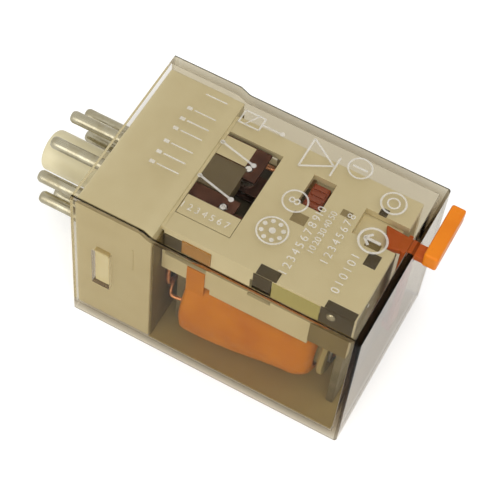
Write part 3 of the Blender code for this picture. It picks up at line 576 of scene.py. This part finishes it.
# Print: thin white marks on the cover's face, all generic. Strokes are (points, width).
ink = dict(
    thick=0.02, lift=0.006, ringSteps=40, dotSteps=20, stepRoom=0.3,
    contactLines=(-2.0, 6.2),
    contactStrokes=[
        ([(9.0, 0.0), (16.2, 0.0)], 0.32), ([(16.2, 0.0), (22.8, -1.6)], 0.42),
        ([(9.0, 2.6), (13.3, 2.6)], 0.26), ([(7.6, 2.6), (8.6, 2.6)], 0.7),
        ([(9.0, -2.4), (13.3, -2.4)], 0.26), ([(7.6, -2.4), (8.6, -2.4)], 0.7),
        ([(7.6, 0.0), (8.6, 0.0)], 0.7),
    ],
    contactDots=[((16.2, 0.0), 0.45), ((23.2, -1.7), 0.5)],
    strokes=[
        ([(16.4, 11.6), (20.4, 11.6), (20.4, 14.4), (16.4, 14.4), (16.4, 11.45)], 0.32),  # coil box, leads
        ([(17.6, 11.6), (19.2, 14.4)], 0.25), ([(9.0, 13.0), (13.3, 13.0)], 0.26),
        ([(20.4, 13.0), (24.0, 13.0)], 0.32),
        ([(29.8, 8.6), (29.8, 15.2), (35.2, 11.6), (29.8, 8.6)], 0.36),  # one-way mark
        ([(35.5, 9.4), (35.5, 13.8)], 0.36), ([(38.0, 13.6), (40.8, 13.6)], 0.4),
        ([(46.3, 1.3), (49.3, 1.3)], 0.6), ([(47.4, 2.5), (46.2, 1.3), (47.4, 0.1)], 0.5),  # arrow
    ],
    rings=[((32.2, -5.6), 2.9, 0.32), ((32.8, 1.7), 2.4, 0.32), ((39.4, 13.6), 2.3, 0.32),
           ((47.8, 1.3), 2.7, 0.42), ((47.6, 10.0), 2.4, 0.36), ((47.6, 10.0), 1.2, 0.3)],
    dots=[((24.4, 13.0), 0.45), ((32.2, -5.6), 0.62)],
    pinDots=((32.2, -5.6), 1.9, 0.42),  # centre, circle, dot
    poleNumber=("8", (32.8, 1.7), 3.0),
    scale=("1234567", 16.6, 1.42, -8.7, 1.9),  # numbers, start, step, line, size
    rows=[(37.6, -12.8, 2.8, "1 2 3 4 5 6 7 8 9 10", 2.2), (39.7, -6.6, 3.4, "10 20 30 40 50", 1.7),
          (42.6, -7.4, 4.6, "1 2 3 4 5 6 7 8", 2.1), (46.7, -11.4, -2.2, "0 1 0 1 0 1", 2.2)],
)


def inkLevel(u):
    return (bandHeight if u < cover["bandEnd"] - cover["ramp"] / 2 else faceHeight) + ink["lift"]


def inkPlace(centre):
    return Matrix.Translation((*centre, inkLevel(centre[0])))


def inkPath(form, points, width):
    # Straight strokes, parted where they would cross the band's step.
    reach = cover["ramp"] / 2
    step = cover["bandEnd"] - reach
    for start, end in zip(map(Vector, points), map(Vector, points[1:])):
        breaks = [0.0, 1.0]
        if min(start.x, end.x) < step - reach and max(start.x, end.x) > step + reach:
            middle = (step - start.x) / (end.x - start.x)
            gap = (reach + ink["stepRoom"]) / abs(end.x - start.x)
            breaks = sorted((0.0, middle - gap, middle + gap, 1.0))
        side = (end - start).orthogonal().normalized() * (width / 2)
        for first, last in zip(breaks[::2], breaks[1::2]):
            a, b = start.lerp(end, first), start.lerp(end, last)
            corners = a - side, b - side, b + side, a + side
            form.faces.new([form.verts.new((u, y, inkLevel(u))) for u, y in corners])


def inkRing(form, centre, radius, width):
    place, loops = inkPlace(centre), []
    for size in (radius, radius - width):
        loops += ops.create_circle(form, segments=ink["ringSteps"], radius=size, matrix=place)["verts"]
    ops.bridge_loops(form, edges=edgesOf(loops))


def inkDot(form, centre, radius):
    place = inkPlace(centre)
    ops.create_circle(form, cap_ends=True, segments=ink["dotSteps"], radius=radius, matrix=place)


def inkDigit(form, word, centre, size, turn=pi / 2):
    text = bpy.data.curves.new("inkDigit", "FONT")
    text.body, text.size = word, size
    text.align_x = text.align_y = "CENTER"
    holder = addObject("inkDigit", text)
    bpy.context.view_layer.update()
    flat = bpy.data.meshes.new_from_object(holder.evaluated_get(bpy.context.evaluated_depsgraph_get()))
    flat.transform(inkPlace(centre) @ Matrix.Rotation(turn, 4, "Z"))
    form.from_mesh(flat)
    bpy.data.objects.remove(holder, do_unlink=True)
    bpy.data.meshes.remove(flat)
    bpy.data.curves.remove(text)


def makePrint():
    form = bmesh.new()
    for line in ink["contactLines"]:
        for points, width in ink["contactStrokes"]:
            inkPath(form, [(u, line + y) for u, y in points], width)
        for (u, y), radius in ink["contactDots"]:
            inkDot(form, (u, line + y), radius)
    for stroke in ink["strokes"]:
        inkPath(form, *stroke)
    for ring in ink["rings"]:
        inkRing(form, *ring)
    for dot in ink["dots"]:
        inkDot(form, *dot)
    centre, circle, dot = ink["pinDots"]
    for pin in range(8):
        turn = Matrix.Rotation(2 * pi * (pin + 0.5) / 8, 2)
        inkDot(form, Vector(centre) + turn @ Vector((circle, 0)), dot)
    inkDigit(form, *ink["poleNumber"])
    numbers, start, step, line, size = ink["scale"]
    for index, word in enumerate(numbers):
        inkDigit(form, word, (start + step * index, line), size, 0.0)
    for u, lowY, highY, numbers, size in ink["rows"]:
        words = numbers.split()
        for index, word in enumerate(words):
            inkDigit(form, word, (u, lowY + (highY - lowY) * (index + 0.5) / len(words)), size)
    ops.recalc_face_normals(form, faces=form.faces)
    lifted = ops.extrude_face_region(form, geom=form.faces[:], use_keep_orig=True)["geom"]
    top = [item for item in lifted if isinstance(item, bmesh.types.BMVert)]
    ops.translate(form, vec=(0, 0, ink["thick"]), verts=top)
    ops.recalc_face_normals(form, faces=form.faces)
    finishPiece("face_print", form, ["whiteInk"], smoothAngle=0)


makePrint()
print("print made")


# Base: the moulded header with boss, spigot, key, latch hooks and the pads behind it.
base = dict(
    inset=0.15, floor=15.2, roof=34.7, edge=0.25, fit=0.3, sunk=0.3,
    lip=((-0.3, -13.4, 33.2), (0.58, 13.4, 34.38)), lipEdge=0.05,
    boss=14.0, seat=-0.7, bossEdge=((0.25, 0.0), (0.07, 0.07), (0.0, 0.25)),
    spigot=4.0, tipRound=1.0, spigotFoot=((0.2, 0.4), (-0.1, 0.12), (-0.5, 0.0)),
    spigotDish=((0.0, 1.6), (0.5, 1.2), (0.6, 0.0)),
    key=(2.0, 1.0, 1.2, 0.8),  # setback, half width, rise, root's share of the spigot
    collar=((0.1, 1.25), (0.1, 2.05), (-0.02, 2.0), (-0.16, 1.75), (-0.16, 1.45), (0.1, 1.25)),
    hook=(4.3, 7.3), hookReach=5.1,
    rib=(11.4, 11.8), ribLevels=(21.8, 28.2), ribDepth=(0.1, 0.14), ribEdge=0.06,
    pads=((3.0, 7.5), (18.2, 22.7)), padSides=(-5.5, 1.5),
)
sheets = dict(gap=0.02, thick=0.3, sideRoom=0.4, backTop=32.0, backEdge=0.05, floorLift=0.05, floorEdge=0.1)
baseLow, baseHigh = boxOf("base")
plugLevel = coverHigh.z / 2


def axisOf(node):
    low, high = boxOf(node)
    return (low.y + high.y) / 2, (low.z + high.z) / 2


def makeBase():
    form = bmesh.new()
    floor, seat, boss, edge, sunk = (base[word] for word in ("floor", "seat", "boss", "edge", "sunk"))
    half = coverHigh.y - cover["wall"] - base["fit"]
    bottom = cover["wall"] + base["fit"]
    addBox(form, (base["inset"], -half, bottom), (floor, half, base["roof"]), edge)
    addBox(form, *((floor + u, y, z) for u, y, z in base["lip"]), base["lipEdge"])
    root = base["inset"] + sunk
    rounded = [(seat + back, boss - drop) for back, drop in base["bossEdge"]]
    addTurned(form, [(root, 0.0), (root, boss), *rounded, (seat, 0.0)], 0, plugLevel, steps=96)
    tip, radius, tipRound = baseLow.x, base["spigot"], base["tipRound"]
    profile = [(seat + back, radius + more) for back, more in base["spigotFoot"]]
    profile.insert(0, (profile[0][0], 0.0))
    profile += [(tip + tipRound * (1 - up), radius - tipRound * (1 - out)) for up, out in quarterArc(6)]
    profile += [(tip + back, size) for back, size in base["spigotDish"]]
    addTurned(form, profile, 0, plugLevel)
    setback, side, rise, share = base["key"]
    key = (tip + setback, -side, plugLevel - radius - rise), (seat + sunk, side, plugLevel - radius * share)
    addBox(form, *key, edge)
    collar = [(seat + back, size) for back, size in base["collar"]]
    for pin in range(1, 9):
        addTurned(form, collar, *axisOf(f"pin_{pin}"), steps=32)
    for side in (-1, 1):
        ends = sorted((side * (half - sunk), side * baseHigh.y))
        start, end, reach = *base["hook"], base["hookReach"]
        # The latch hooks take the darker cream, painted shade for their recess.
        addBox(form, (start, ends[0], plugLevel - reach), (end, ends[1], plugLevel + reach), edge, 1)
        ends = sorted((side * (half - base["ribDepth"][0]), side * (half + base["ribDepth"][1])))
        addBox(form, *zip(base["rib"], ends, base["ribLevels"]), base["ribEdge"])
    for levels in base["pads"]:
        addBox(form, *zip((floor - sunk, baseHigh.x), base["padSides"], levels), edge)
    finishPiece("base_header", form, ["creamMoulding", "hookShadeMoulding"], ("base",))
    # The back sheet is painted shade: a dark olive sheet on the base's back face, standing in for the shade
    # between base and coil.
    start, thick, side = floor + sheets["gap"], sheets["thick"], half - sheets["sideRoom"]
    back = (start, -side, bottom), (floor + thick, side, sheets["backTop"]), sheets["backEdge"]
    boxPiece("back_shade_sheet", [back], "oliveShadeBoard")
    level, end = cover["wall"] + sheets["floorLift"], coverHigh.x - cover["endWall"] - sheets["sideRoom"]
    under = (start, -half, level), (end, half, level + thick), sheets["floorEdge"]
    boxPiece("floor_sheet", [under], "pressBoard")


makeBase()
print("base made")


# Pins: tinned tubes with a solder dome in the end. Neck and end are (place, share of the radius).
pinLook = dict(
    radius=1.18, wall=0.28, steps=36, neck=((-0.9, 1.0), (-1.3, 0.985)), mouth=0.12,
    end=((2.2, 0.985), (0.75, 1.0), (0.45, 0.93), (0.18, 0.80), (0.12, 0.74)),
    dome=0.14, domeRoot=0.4, domeGap=1.6,
)


def makePins():
    radius, wall, steps, rise = (pinLook[word] for word in ("radius", "wall", "steps", "dome"))
    for number in range(1, 9):
        low, high = boxOf(f"pin_{number}")
        tip, root, axis = low.x, high.x, axisOf(f"pin_{number}")
        form = bmesh.new()
        profile = [(root, 0.0), (root, radius), *((u, radius * share) for u, share in pinLook["neck"])]
        profile += [(tip + back, radius * share) for back, share in pinLook["end"]]
        addTurned(form, [*profile, (tip + pinLook["mouth"], radius - 2 * wall)], *axis, steps)
        inner, back = radius - pinLook["domeGap"] * wall, tip + pinLook["domeRoot"]
        dome = [(tip + rise - rise * up, inner * out) for up, out in quarterArc(5)]
        addTurned(form, [(back, 0.0), (back, inner), *dome], *axis, steps, slot=1)
        finishPiece(f"pin_tube_{number}", form, ["tinnedPin", "solderTip"], (f"pin_{number}",))


makePins()
print("pins made")


# Coil: bobbin, iron core with its shading ring, and the taped winding.
coil = dict(
    hub=5.6, bore=4.7, flange=1.2, ease=0.3, easeMiddle=(0.1, 0.08),
    tapeSteps=160, tapeRows=60, tapeGap=0.15, lapFrom=0.6, lapTo=2.5, lapRise=0.14,
    wrinkle=0.2, crease=(0.7, 0.09, 3.1), crumple=(0.3, 0.55, 7.0),
    tuck=3.4, inside=6.2, startRound=1.2, endRound=4.2, squash=0.62,
    wide=10.95, narrow=9.5, narrowFrom=25.0, narrowTo=43.0, most=11.15, shorter=2.1,
    tab=((20.9, -13.78, 18.2), (24.4, -13.52, 27.0)), tabEdge=0.1,
    wound=7.0, turns=40, woundFrom=1.4, woundTo=4.2, groove=0.12,
)
tapeLow, tapeHigh = boxOf("coil_tape")
coilAxis = coilLine, coilLevel = axisOf("coil_tape")
bobbinLow, bobbinHigh = boxOf("bobbin")


def turnedPiece(name, profile, look, slotName, node, **settings):
    form = bmesh.new()
    addTurned(form, profile, *coilAxis, **settings)
    finishPiece(name, form, [look], (node,))


def makeBobbin():
    radius = (tapeHigh.z - tapeLow.z) / 2 - coil["tuck"]
    flange, ease, (back, drop) = coil["flange"], coil["ease"], coil["easeMiddle"]
    half = [(0.0, coil["bore"]), (0.0, radius - ease), (back, radius - drop), (ease, radius),
            (flange - ease, radius), (flange, radius - ease), (flange, coil["hub"])]
    profile = [(bobbinHigh.x - depth, size) for depth, size in half]
    profile += [(bobbinLow.x + depth, size) for depth, size in reversed(half)]
    turnedPiece("bobbin_spool", profile, "pressBoard", "cream_moulding", "bobbin", steps=96, closed=True)


def makeTape():
    # One skin over the winding and both flanges, drawn in at its ends, with creases and a lapped end.
    form = bmesh.new()
    start, end, rows = bobbinLow.x + coil["tapeGap"], bobbinHigh.x - coil["shorter"], coil["tapeRows"]
    profile = []
    for row in range(rows + 1):
        u = start + (end - start) * row / rows
        sink = 0.0
        for depth, room in ((u - start, coil["startRound"]), (end - u, coil["endRound"])):
            if depth < room:
                sink = max(sink, room * coil["squash"] * (1 - sqrt(1 - (1 - depth / room) ** 2)))
        share = min(max((u - coil["narrowFrom"]) / (coil["narrowTo"] - coil["narrowFrom"]), 0.0), 1.0)
        radius = coil["wide"] + (coil["narrow"] - coil["wide"]) * share * share * (3 - 2 * share)
        profile.append((u, radius - sink))
    inside = coil["inside"]
    addTurned(form, [(start, inside), *profile, (end, inside)], *coilAxis, coil["tapeSteps"])
    for vert in form.verts:
        y, z = vert.co.y - coilLine, vert.co.z - coilLevel
        radius = hypot(y, z)
        if radius < inside + 0.01:
            continue
        angle = atan2(z, y) % (2 * pi)
        rise = 0.0
        for weight, along, around in (coil["crease"], coil["crumple"]):
            spot = Vector((vert.co.x * along, cos(angle) * around, sin(angle) * around))
            rise += coil["wrinkle"] * weight * noise.noise(spot)
        if coil["lapFrom"] < angle < coil["lapTo"]:
            rise += coil["lapRise"]
        grown = min(radius + rise, coil["most"]) / radius
        vert.co.y = coilLine + y * grown
        vert.co.z = coilLevel + z * grown
    addBox(form, *coil["tab"], coil["tabEdge"])
    finishPiece("coil_wrap", form, ["orangeTape"], ("coil_tape",), smoothAngle=60)


def makeWinding():
    # Layers of enamelled wire on the hub, closed in by the tape.
    start, end = bobbinLow.x + coil["woundFrom"], bobbinHigh.x - coil["woundTo"]
    hub, ridges = coil["hub"], 2 * coil["turns"]
    profile = [(start, hub)]
    for ridge in range(ridges + 1):
        profile.append((start + (end - start) * ridge / ridges, coil["wound"] - coil["groove"] * (ridge % 2)))
    profile.append((end, hub))
    turnedPiece("copper_turns", profile, "enamelCopper", "copper", "coil_winding", closed=True)


coreLook = dict(
    face=((0.0, 0.0), (0.0, 1.95), (0.1, 2.0), (1.2, 2.0), (1.2, 3.6), (0.0, 3.6), (0.0, 4.35), (0.15, 4.5)),
    step=20.5, tail=3.0, ring=(2.2, 3.4), ringEase=(0.08, 0.05),
)


def makeCore():
    low, high = boxOf("core")
    step, tail = coreLook["step"], coreLook["tail"]
    profile = [(high.x - depth, size) for depth, size in coreLook["face"]]
    profile += [(step, profile[-1][1]), (step, tail), (low.x, tail), (low.x, 0.0)]
    turnedPiece("core_rod", profile, "softIron", "steel", "core")
    low, high = boxOf("shading_ring")
    (inner, outer), (ease, drop) = coreLook["ring"], coreLook["ringEase"]
    back = high.x - ease
    profile = [(high.x, inner + drop), (high.x, outer - drop), (back, outer), (low.x, outer), (low.x, inner),
               (back, inner)]
    turnedPiece("copper_ring", profile, "enamelCopper", "copper", "shading_ring", closed=True)


makeBobbin()
makeTape()
makeWinding()
makeCore()
print("coil made")


# Boxed pieces: copies of the solids with their doubles merged and their sharp edges eased.
def easedCopy(name, node, look, slotName, edge, body="housing"):
    form = bmesh.new()
    form.from_mesh(frame["nodes"][node].data)
    ops.transform(form, matrix=fromFrame, verts=form.verts)
    ops.remove_doubles(form, verts=form.verts, dist=1e-3)
    ops.dissolve_limit(form, angle_limit=radians(1.0), verts=form.verts, edges=form.edges)
    sharp = [line for line in form.edges
             if len(line.link_faces) == 2 and line.calc_face_angle(0.0) > radians(50)]
    roundEdges(form, sharp, edge, 2)
    newFaces(form, ())
    finishPiece(name, form, [look], (node,), body)


easedPieces = [
    ("frame_channel", "contact_frame", "creamMoulding", "cream_moulding", 0.18),
    ("yoke_angle", "yoke", "zincSteel", "steel", 0.2),
    ("armature_plate", "armature", "zincSteel", "steel", 0.15, "armature"),
    ("carrier_block", "contact_carrier", "oliveMoulding", "olive_moulding", 0.2, "armature"),
]
# The contact strips take the darkened bronze, painted shade for the contact window.
for side in "ab":
    easedPieces += [
        (f"break_spring_{side}", f"nc_strip_{side}", "bronzeStrip", "spring_bronze", 0.08),
        (f"make_spring_{side}", f"no_strip_{side}", "bronzeStrip", "spring_bronze", 0.08),
        (f"moving_spring_{side}", f"moving_blade_{side}", "bronzeStrip", "spring_bronze", 0.06, "armature"),
    ]
for settings in easedPieces:
    easedCopy(*settings)
print("boxed pieces made")

# The six contacts stay as they were built, in silver.
for side in "ab":
    for word in ("moving", "nc", "no"):
        contact = frame["nodes"][f"{word}_contact_{side}"].data
        contact.materials.clear()
        contact.materials.append(finishes["silverFace"])


flag = dict(top=33.0, edge=0.12, ridges=4, ridgeFrom=0.35, ridgeStep=1.28, ridgeWidth=0.85,
            ridgeInset=0.3, ridgeLevels=(32.9, 33.25), ridgeEdge=0.1)


def makeFlag():
    # A rust block with four ridges, low enough to clear the cover's roof when it rises.
    low, high = boxOf("indicator_flag")
    form = bmesh.new()
    addBox(form, low, (high.x, high.y, flag["top"]), flag["edge"])
    ends = low.x + flag["ridgeInset"], high.x - flag["ridgeInset"]
    addRidges(form, flag, ends, low.y + flag["ridgeFrom"])
    finishPiece("flag_block", form, ["rustMoulding"], ("indicator_flag",), "armature")


makeFlag()


# Boards at the contact window, thin plates and a rivet on the frame, and a dark film under the contacts. The
# dark, olive, skirt and shade plates and the dark film are painted shade: dark sheets put where slots,
# hollows and the contact window lie in shade.
boards = dict(
    window=[((15.9, -9.7, 34.15), (26.3, -5.5, 34.4), 0.06), ((15.8, 4.6, 34.14), (21.6, 8.9, 34.32), 0.06),
            ((25.4, -13.45, 20.9), (44.6, -12.95, 22.7), 0.1)],
    bridge=[((15.8, -2.2, 31.2), (22.2, 2.2, 34.12), 0.2), ((15.8, -2.2, 34.13), (22.2, 4.3, 34.3), 0.06)],
    plates=dict(
        shadowDarkMoulding=[
            ((15.85, -13.66, 28.7), (19.4, -13.4, 32.7)), ((33.0, -13.66, 30.2), (36.5, -13.4, 34.0)),
            ((33.4, -13.64, 34.3), (37.3, -11.5, 34.5)), ((45.7, -13.66, 29.2), (51.9, -13.4, 34.1)),
            ((46.3, -13.64, 34.3), (51.9, -12.0, 34.5)), ((17.2, -11.4, 26.25), (29.2, 11.4, 26.4)),
            ((48.1, -2.9, 34.3), (50.4, 0.0, 34.46)), ((46.0, 7.6, 34.3), (47.5, 9.2, 34.46)),
        ],
        amberVarnish=[((19.4, -13.72, 29.3), (25.0, -13.4, 33.1))],
        tinnedPin=[],  # the rivet alone
        oliveShadeBoard=[((44.6, -13.62, 22.4), (51.9, -13.4, 29.2)), ((46.6, 0.6, 34.3), (49.4, 2.05, 34.44))],
        skirtShade=[((36.6, -13.6, 28.6), (45.6, -13.4, 33.8))],
        shadeBoard=[((33.3, -1.3, 34.3), (36.1, 0.9, 34.44)), ((40.3, 4.1, 34.3), (42.3, 5.5, 34.44))],
    ),
    plateEdge=0.05, rivet=(47.8, -13.7, 32.4), rivetSize=(0.85, 0.4, 0.85), rivetSteps=24,
)


def makeBoards():
    boxPiece("window_boards", boards["window"], "creamMoulding")
    boxPiece("contact_bridge", boards["bridge"], "oliveMoulding")
    form = bmesh.new()
    looks = list(boards["plates"])
    for slot, boxes in enumerate(boards["plates"].values()):
        for low, high in boxes:
            addBox(form, low, high, boards["plateEdge"], slot)
    head = Matrix.Translation(boards["rivet"]) @ Matrix.Diagonal((*boards["rivetSize"], 1.0))
    steps, before = boards["rivetSteps"], set(form.faces)
    ops.create_uvsphere(form, u_segments=steps, v_segments=steps // 2, radius=1.0, matrix=head)
    newFaces(form, before, looks.index("tinnedPin"))
    finishPiece("edge_clips", form, looks)


makeBoards()


# Test lever: bar with grip ridges outside, a neck that fans out inside, and a leg with a finger.
lever = dict(
    barDepth=2.7, barSides=(2.8, 14.8), barLevels=(33.3, 36.8), barEdge=0.45,
    ridges=5, ridgeFrom=5.0, ridgeStep=1.9, ridgeWidth=0.9, ridgeDepth=0.3,
    ridgeLevels=(33.9, 36.2), ridgeEdge=0.14,
    neckStart=51.7, neckSides=(3.4, 6.2), neckLevels=(32.9, 34.3), neckSunk=0.4, neckEdge=0.2,
    fan=((48.2, 2.3, 32.95), (54.0, 6.6, 34.26)), fanSkew=2.0, fanRound=0.3,
    leg=((52.5, 53.3), (2.8, 6.8)), legTop=34.2,
    finger=((51.5, 3.0, 8.55), (52.6, 6.5, 10.35)), legEdge=0.15,
)


def makeLever():
    low, high = boxOf("test_lever")
    form = bmesh.new()
    barStart = high.x - lever["barDepth"]
    addBox(form, *zip((barStart, high.x), lever["barSides"], lever["barLevels"]), lever["barEdge"], steps=4)
    addRidges(form, lever, (high.x - lever["ridgeDepth"], high.x), lever["ridgeFrom"])
    ends = lever["neckStart"], barStart + lever["neckSunk"]
    addBox(form, *zip(ends, lever["neckSides"], lever["neckLevels"]), lever["neckEdge"], 1)
    near, far = lever["neckSides"]
    (start, *_), (end, *_) = lever["fan"]
    corners = {vert for face in addBox(form, *lever["fan"], 0.0, 1) for vert in face.verts}
    for vert in corners:
        onNear = vert.co.y < (near + far) / 2
        if vert.co.x > (start + end) / 2:
            vert.co.y = near if onNear else far
        elif onNear:
            vert.co.x += lever["fanSkew"]
    roundEdges(form, edgesOf(corners), lever["fanRound"])
    addBox(form, *zip(*lever["leg"], (low.z, lever["legTop"])), lever["legEdge"], 1)
    addBox(form, *lever["finger"], lever["legEdge"], 1)
    # The neck, fan, leg and finger take the darker copy of the orange: painted shade.
    looks = ["orangeLever", "shadedInnerLever"]
    finishPiece("test_lever_bar", form, looks, ("test_lever",), "test_lever")


makeLever()
print("lever made")


# Return spring and wires: round wire and braid, swept along their routes.
def alongRoute(points):
    # Each point of a route with two sides and the way on, carried along without twist.
    way = (points[1] - points[0]).normalized()
    side = way.orthogonal().normalized()
    for index, point in enumerate(points):
        before, after = points[max(index - 1, 0)], points[min(index + 1, len(points) - 1)]
        turn = way.rotation_difference((after - before).normalized())
        way, side = turn @ way, (turn @ side).normalized()
        yield point, side, way.cross(side), way


def addTube(form, points, radius, sides=10):
    rings = []
    for index, (point, *sideways) in enumerate(alongRoute(points)):
        place = Matrix.Translation(point) @ Matrix(sideways).transposed().to_4x4()
        cap = index in (0, len(points) - 1)
        ring = ops.create_circle(form, cap_ends=cap, segments=sides, radius=radius, matrix=place)["verts"]
        rings.append(set(ring))
    for first, second in zip(rings, rings[1:]):
        edges = [edge for edge in edgesOf(first | second) if len(edge.link_faces) < 2
                 and (first.issuperset(edge.verts) or second.issuperset(edge.verts))]
        ops.bridge_loops(form, edges=edges)


def smoothRoute(stops, perStop):
    stops = [Vector(stop) for stop in stops]
    ends = [stops[0] * 2 - stops[1], *stops, stops[-1] * 2 - stops[-2]]
    route = []
    for a, b, c, d in zip(ends, ends[1:], ends[2:], ends[3:]):
        for step in range(perStop):
            t = step / perStop
            route.append((2 * b + (c - a) * t + (2 * a - 5 * b + 4 * c - d) * t * t
                          + (3 * b - a - 3 * c + d) * t * t * t) / 2)
    return [*route, stops[-1]]


def easedCorner(before, corner, after, radius, steps=6):
    # Rounds one corner of a bent wire.
    before, corner, after = Vector(before), Vector(corner), Vector(after)
    first = corner + (before - corner).normalized() * radius
    last = corner + (after - corner).normalized() * radius
    shares = [step / steps for step in range(steps + 1)]
    return [first.lerp(corner, share).lerp(corner.lerp(last, share), share) for share in shares]


spring = dict(
    line=-8.0, level=31.0, wire=0.225, radius=1.1, turns=8, perTurn=28, start=41.0, end=48.6,
    startHook=[(37.4, -8.0, 32.1), (37.4, -8.0, 31.0), (39.93, -8.0, 31.0)], startRise=(40.4, -8.0, 31.5),
    endHook=[(49.67, -8.0, 31.0), (52.0, -8.0, 31.0), (52.0, -8.0, 32.1)], endRise=(49.2, -8.0, 31.5),
    bend=0.5, perStop=6,
)


def makeSpring():
    form = bmesh.new()
    startHook, endHook, perStop = spring["startHook"], spring["endHook"], spring["perStop"]
    turns, count = [], spring["turns"] * spring["perTurn"]
    for step in range(count + 1):
        angle = 2 * pi * spring["turns"] * step / count
        turns.append(Vector((spring["start"] + (spring["end"] - spring["start"]) * step / count,
                             spring["line"] + spring["radius"] * sin(angle),
                             spring["level"] + spring["radius"] * cos(angle))))
    lead = smoothRoute([startHook[2], spring["startRise"], turns[0]], perStop)[:-1]
    tail = smoothRoute([turns[-1], spring["endRise"], endHook[0]], perStop)[1:]
    points = [Vector(startHook[0]), *easedCorner(*startHook, spring["bend"]), *lead, *turns, *tail,
              *easedCorner(*endHook, spring["bend"]), Vector(endHook[2])]
    addTube(form, points, spring["wire"])
    piece = finishPiece("coiled_spring", form, ["springWire"], ("return_spring",), None, 60)
    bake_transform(piece)


pigtail = dict(
    radius=0.5, coreSides=8, strands=7, strand=0.17, strandSides=6, lay=5.5, perStop=14,
    stops=[(16.0, 3.34, 10.54), (16.0, 6.405, 10.54), (16.0, 10.77, 13.54), (16.0, 10.77, 20.22),
           (16.0, 10.77, 26.9), (19.0, 9.90, 29.9), (22.0, 9.47, 29.9), (29.4, 9.47, 29.9)],
    bendStops=(5, -1),
)


def makePigtail(word, side):
    # A rope of fine copper strands round a core.
    form = bmesh.new()
    stops = [Vector((u, side * y, z)) for u, y, z in pigtail["stops"]]
    route = smoothRoute(stops, pigtail["perStop"])
    reach = pigtail["radius"] - pigtail["strand"]
    addTube(form, route, reach, pigtail["coreSides"])
    travelled = [0.0]
    for first, second in zip(route, route[1:]):
        travelled.append(travelled[-1] + (second - first).length)
    for strand in range(pigtail["strands"]):
        points = []
        for (point, first, second, _), run in zip(alongRoute(route), travelled):
            angle = 2 * pi * (strand / pigtail["strands"] + run / pigtail["lay"])
            points.append(point + reach * (first * cos(angle) + second * sin(angle)))
        addTube(form, points, pigtail["strand"], pigtail["strandSides"])
    piece = finishPiece(f"braid_{word}", form, ["enamelCopper"], (f"pigtail_{word}",), None, 60)
    start, end = (toFrame @ stops[index] for index in pigtail["bendStops"])
    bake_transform(piece)
    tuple(start)
    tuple(end)


# Coil leads: each stop is (u, share of the way from the pin to the coil, drop).
coilLead = dict(
    radius=0.35, sides=12, perStop=10, level=15.26, ends=dict(start=(-8.06, -13.1), finish=(8.06, 2.7)),
    stops=[(15.85, 0.0, 0.0), (17.15, 0.15, 0.0), (17.15, 0.6, 0.4), (17.85, 1.0, 1.2), (20.2, 1.0, 1.2)],
)


def makeCoilLead(word, pinLine, line):
    form = bmesh.new()
    stops = [(u, pinLine + (line - pinLine) * share, coilLead["level"] - drop)
             for u, share, drop in coilLead["stops"]]
    addTube(form, smoothRoute(stops, coilLead["perStop"]), coilLead["radius"], coilLead["sides"])
    finishPiece(f"lead_wire_{word}", form, ["enamelCopper"], (f"coil_lead_{word}",), smoothAngle=60)


makeSpring()
for word, side in (("a", -1), ("b", 1)):
    makePigtail(word, side)
for word, lines in coilLead["ends"].items():
    makeCoilLead(word, *lines)
print("wires made")


# Floor, light and camera
floorLook = dict(
    size=2.5, drop=0.00005, cloud=((6.0, 2.0), (0.3, 0.7, 0.0, 1.0)), gloss=0.9,
    tones=((0.93, 0.93, 0.925), (0.91, 0.91, 0.905)), throughGlow=0.16, directGlow=0.3,
)


def makeFloor():
    form = bmesh.new()
    ops.create_grid(form, x_segments=1, y_segments=1, size=floorLook["size"])
    ops.translate(form, vec=(0, 0, -floorLook["drop"]), verts=form.verts)
    tree, shader, place = newFinish("paleFloor")
    path = addNode(tree, "LightPath").outputs
    mirrored = addMath(tree, "MAXIMUM", path["Is Glossy Ray"], path["Is Transmission Ray"])
    glow = addMath(tree, "MULTIPLY", mirrored, floorLook["throughGlow"])
    direct = addMath(tree, "MULTIPLY", path["Is Camera Ray"], floorLook["directGlow"])
    tone = addMix(tree, addCloud(tree, place, *floorLook["cloud"]), *floorLook["tones"])
    setInputs(shader, Base_Color=tone, Roughness=floorLook["gloss"], Specular_IOR_Level=0.0,
              Emission_Color=(1, 1, 1), Emission_Strength=addMath(tree, "MAXIMUM", glow, direct))
    floor = meshObject("pale_floor", form, ["paleFloor"])


# Lamps are (energy, size, place).
light = dict(world=0.6, key=(2.1, 0.5, (0.2, -0.24, 0.66)), fill=(1.4, 0.45, (-0.15, -0.6, 0.3)))


def makeLight():
    world = bpy.data.worlds.new("studio")
    bpy.context.scene.world = world
    world.use_nodes = True
    tree = world.node_tree
    path = addNode(tree, "LightPath").outputs
    seen = addMath(tree, "MAXIMUM", path["Is Camera Ray"], path["Is Glossy Ray"])
    seen = addMath(tree, "MAXIMUM", seen, path["Is Transmission Ray"])
    strength = addRange(tree, seen, 0.0, 1.0, light["world"], 1.0)
    setInputs(tree.nodes["Background"], Color=(1, 1, 1), Strength=strength)
    for word in ("key", "fill"):
        lamp = bpy.data.lights.new(word + "Softbox", "AREA")
        lamp.energy, lamp.size, place = light[word]
        holder = addObject(word + "Softbox", lamp)
        holder.location = place
        holder.rotation_euler = (-Vector(place)).to_track_quat("-Z", "Y").to_euler()


cameraLook = dict(place=(84.24, -143.97, 262.48), right=(0.8785, 0.4725, 0.0702),
                  up=(-0.4341, 0.7283, 0.5302), fieldOfView=17.708, sensor=36.0, clip=(0.01, 20.0))


def makeCamera():
    data = bpy.data.cameras.new("photoView")
    data.sensor_width = cameraLook["sensor"]
    data.angle = radians(cameraLook["fieldOfView"])
    data.clip_start, data.clip_end = cameraLook["clip"]
    camera = addObject("photoView", data)
    right, up = Vector(cameraLook["right"]).normalized(), Vector(cameraLook["up"]).normalized()
    turn = Matrix((right, up, right.cross(up))).transposed().to_4x4()
    camera.matrix_world = Matrix.Translation(toFrame @ Vector(cameraLook["place"])) @ turn
    bpy.context.scene.camera = camera


makeFloor()
makeLight()
makeCamera()
bpy.context.scene.view_settings.view_transform = "Standard"
print("floor, light and camera made")
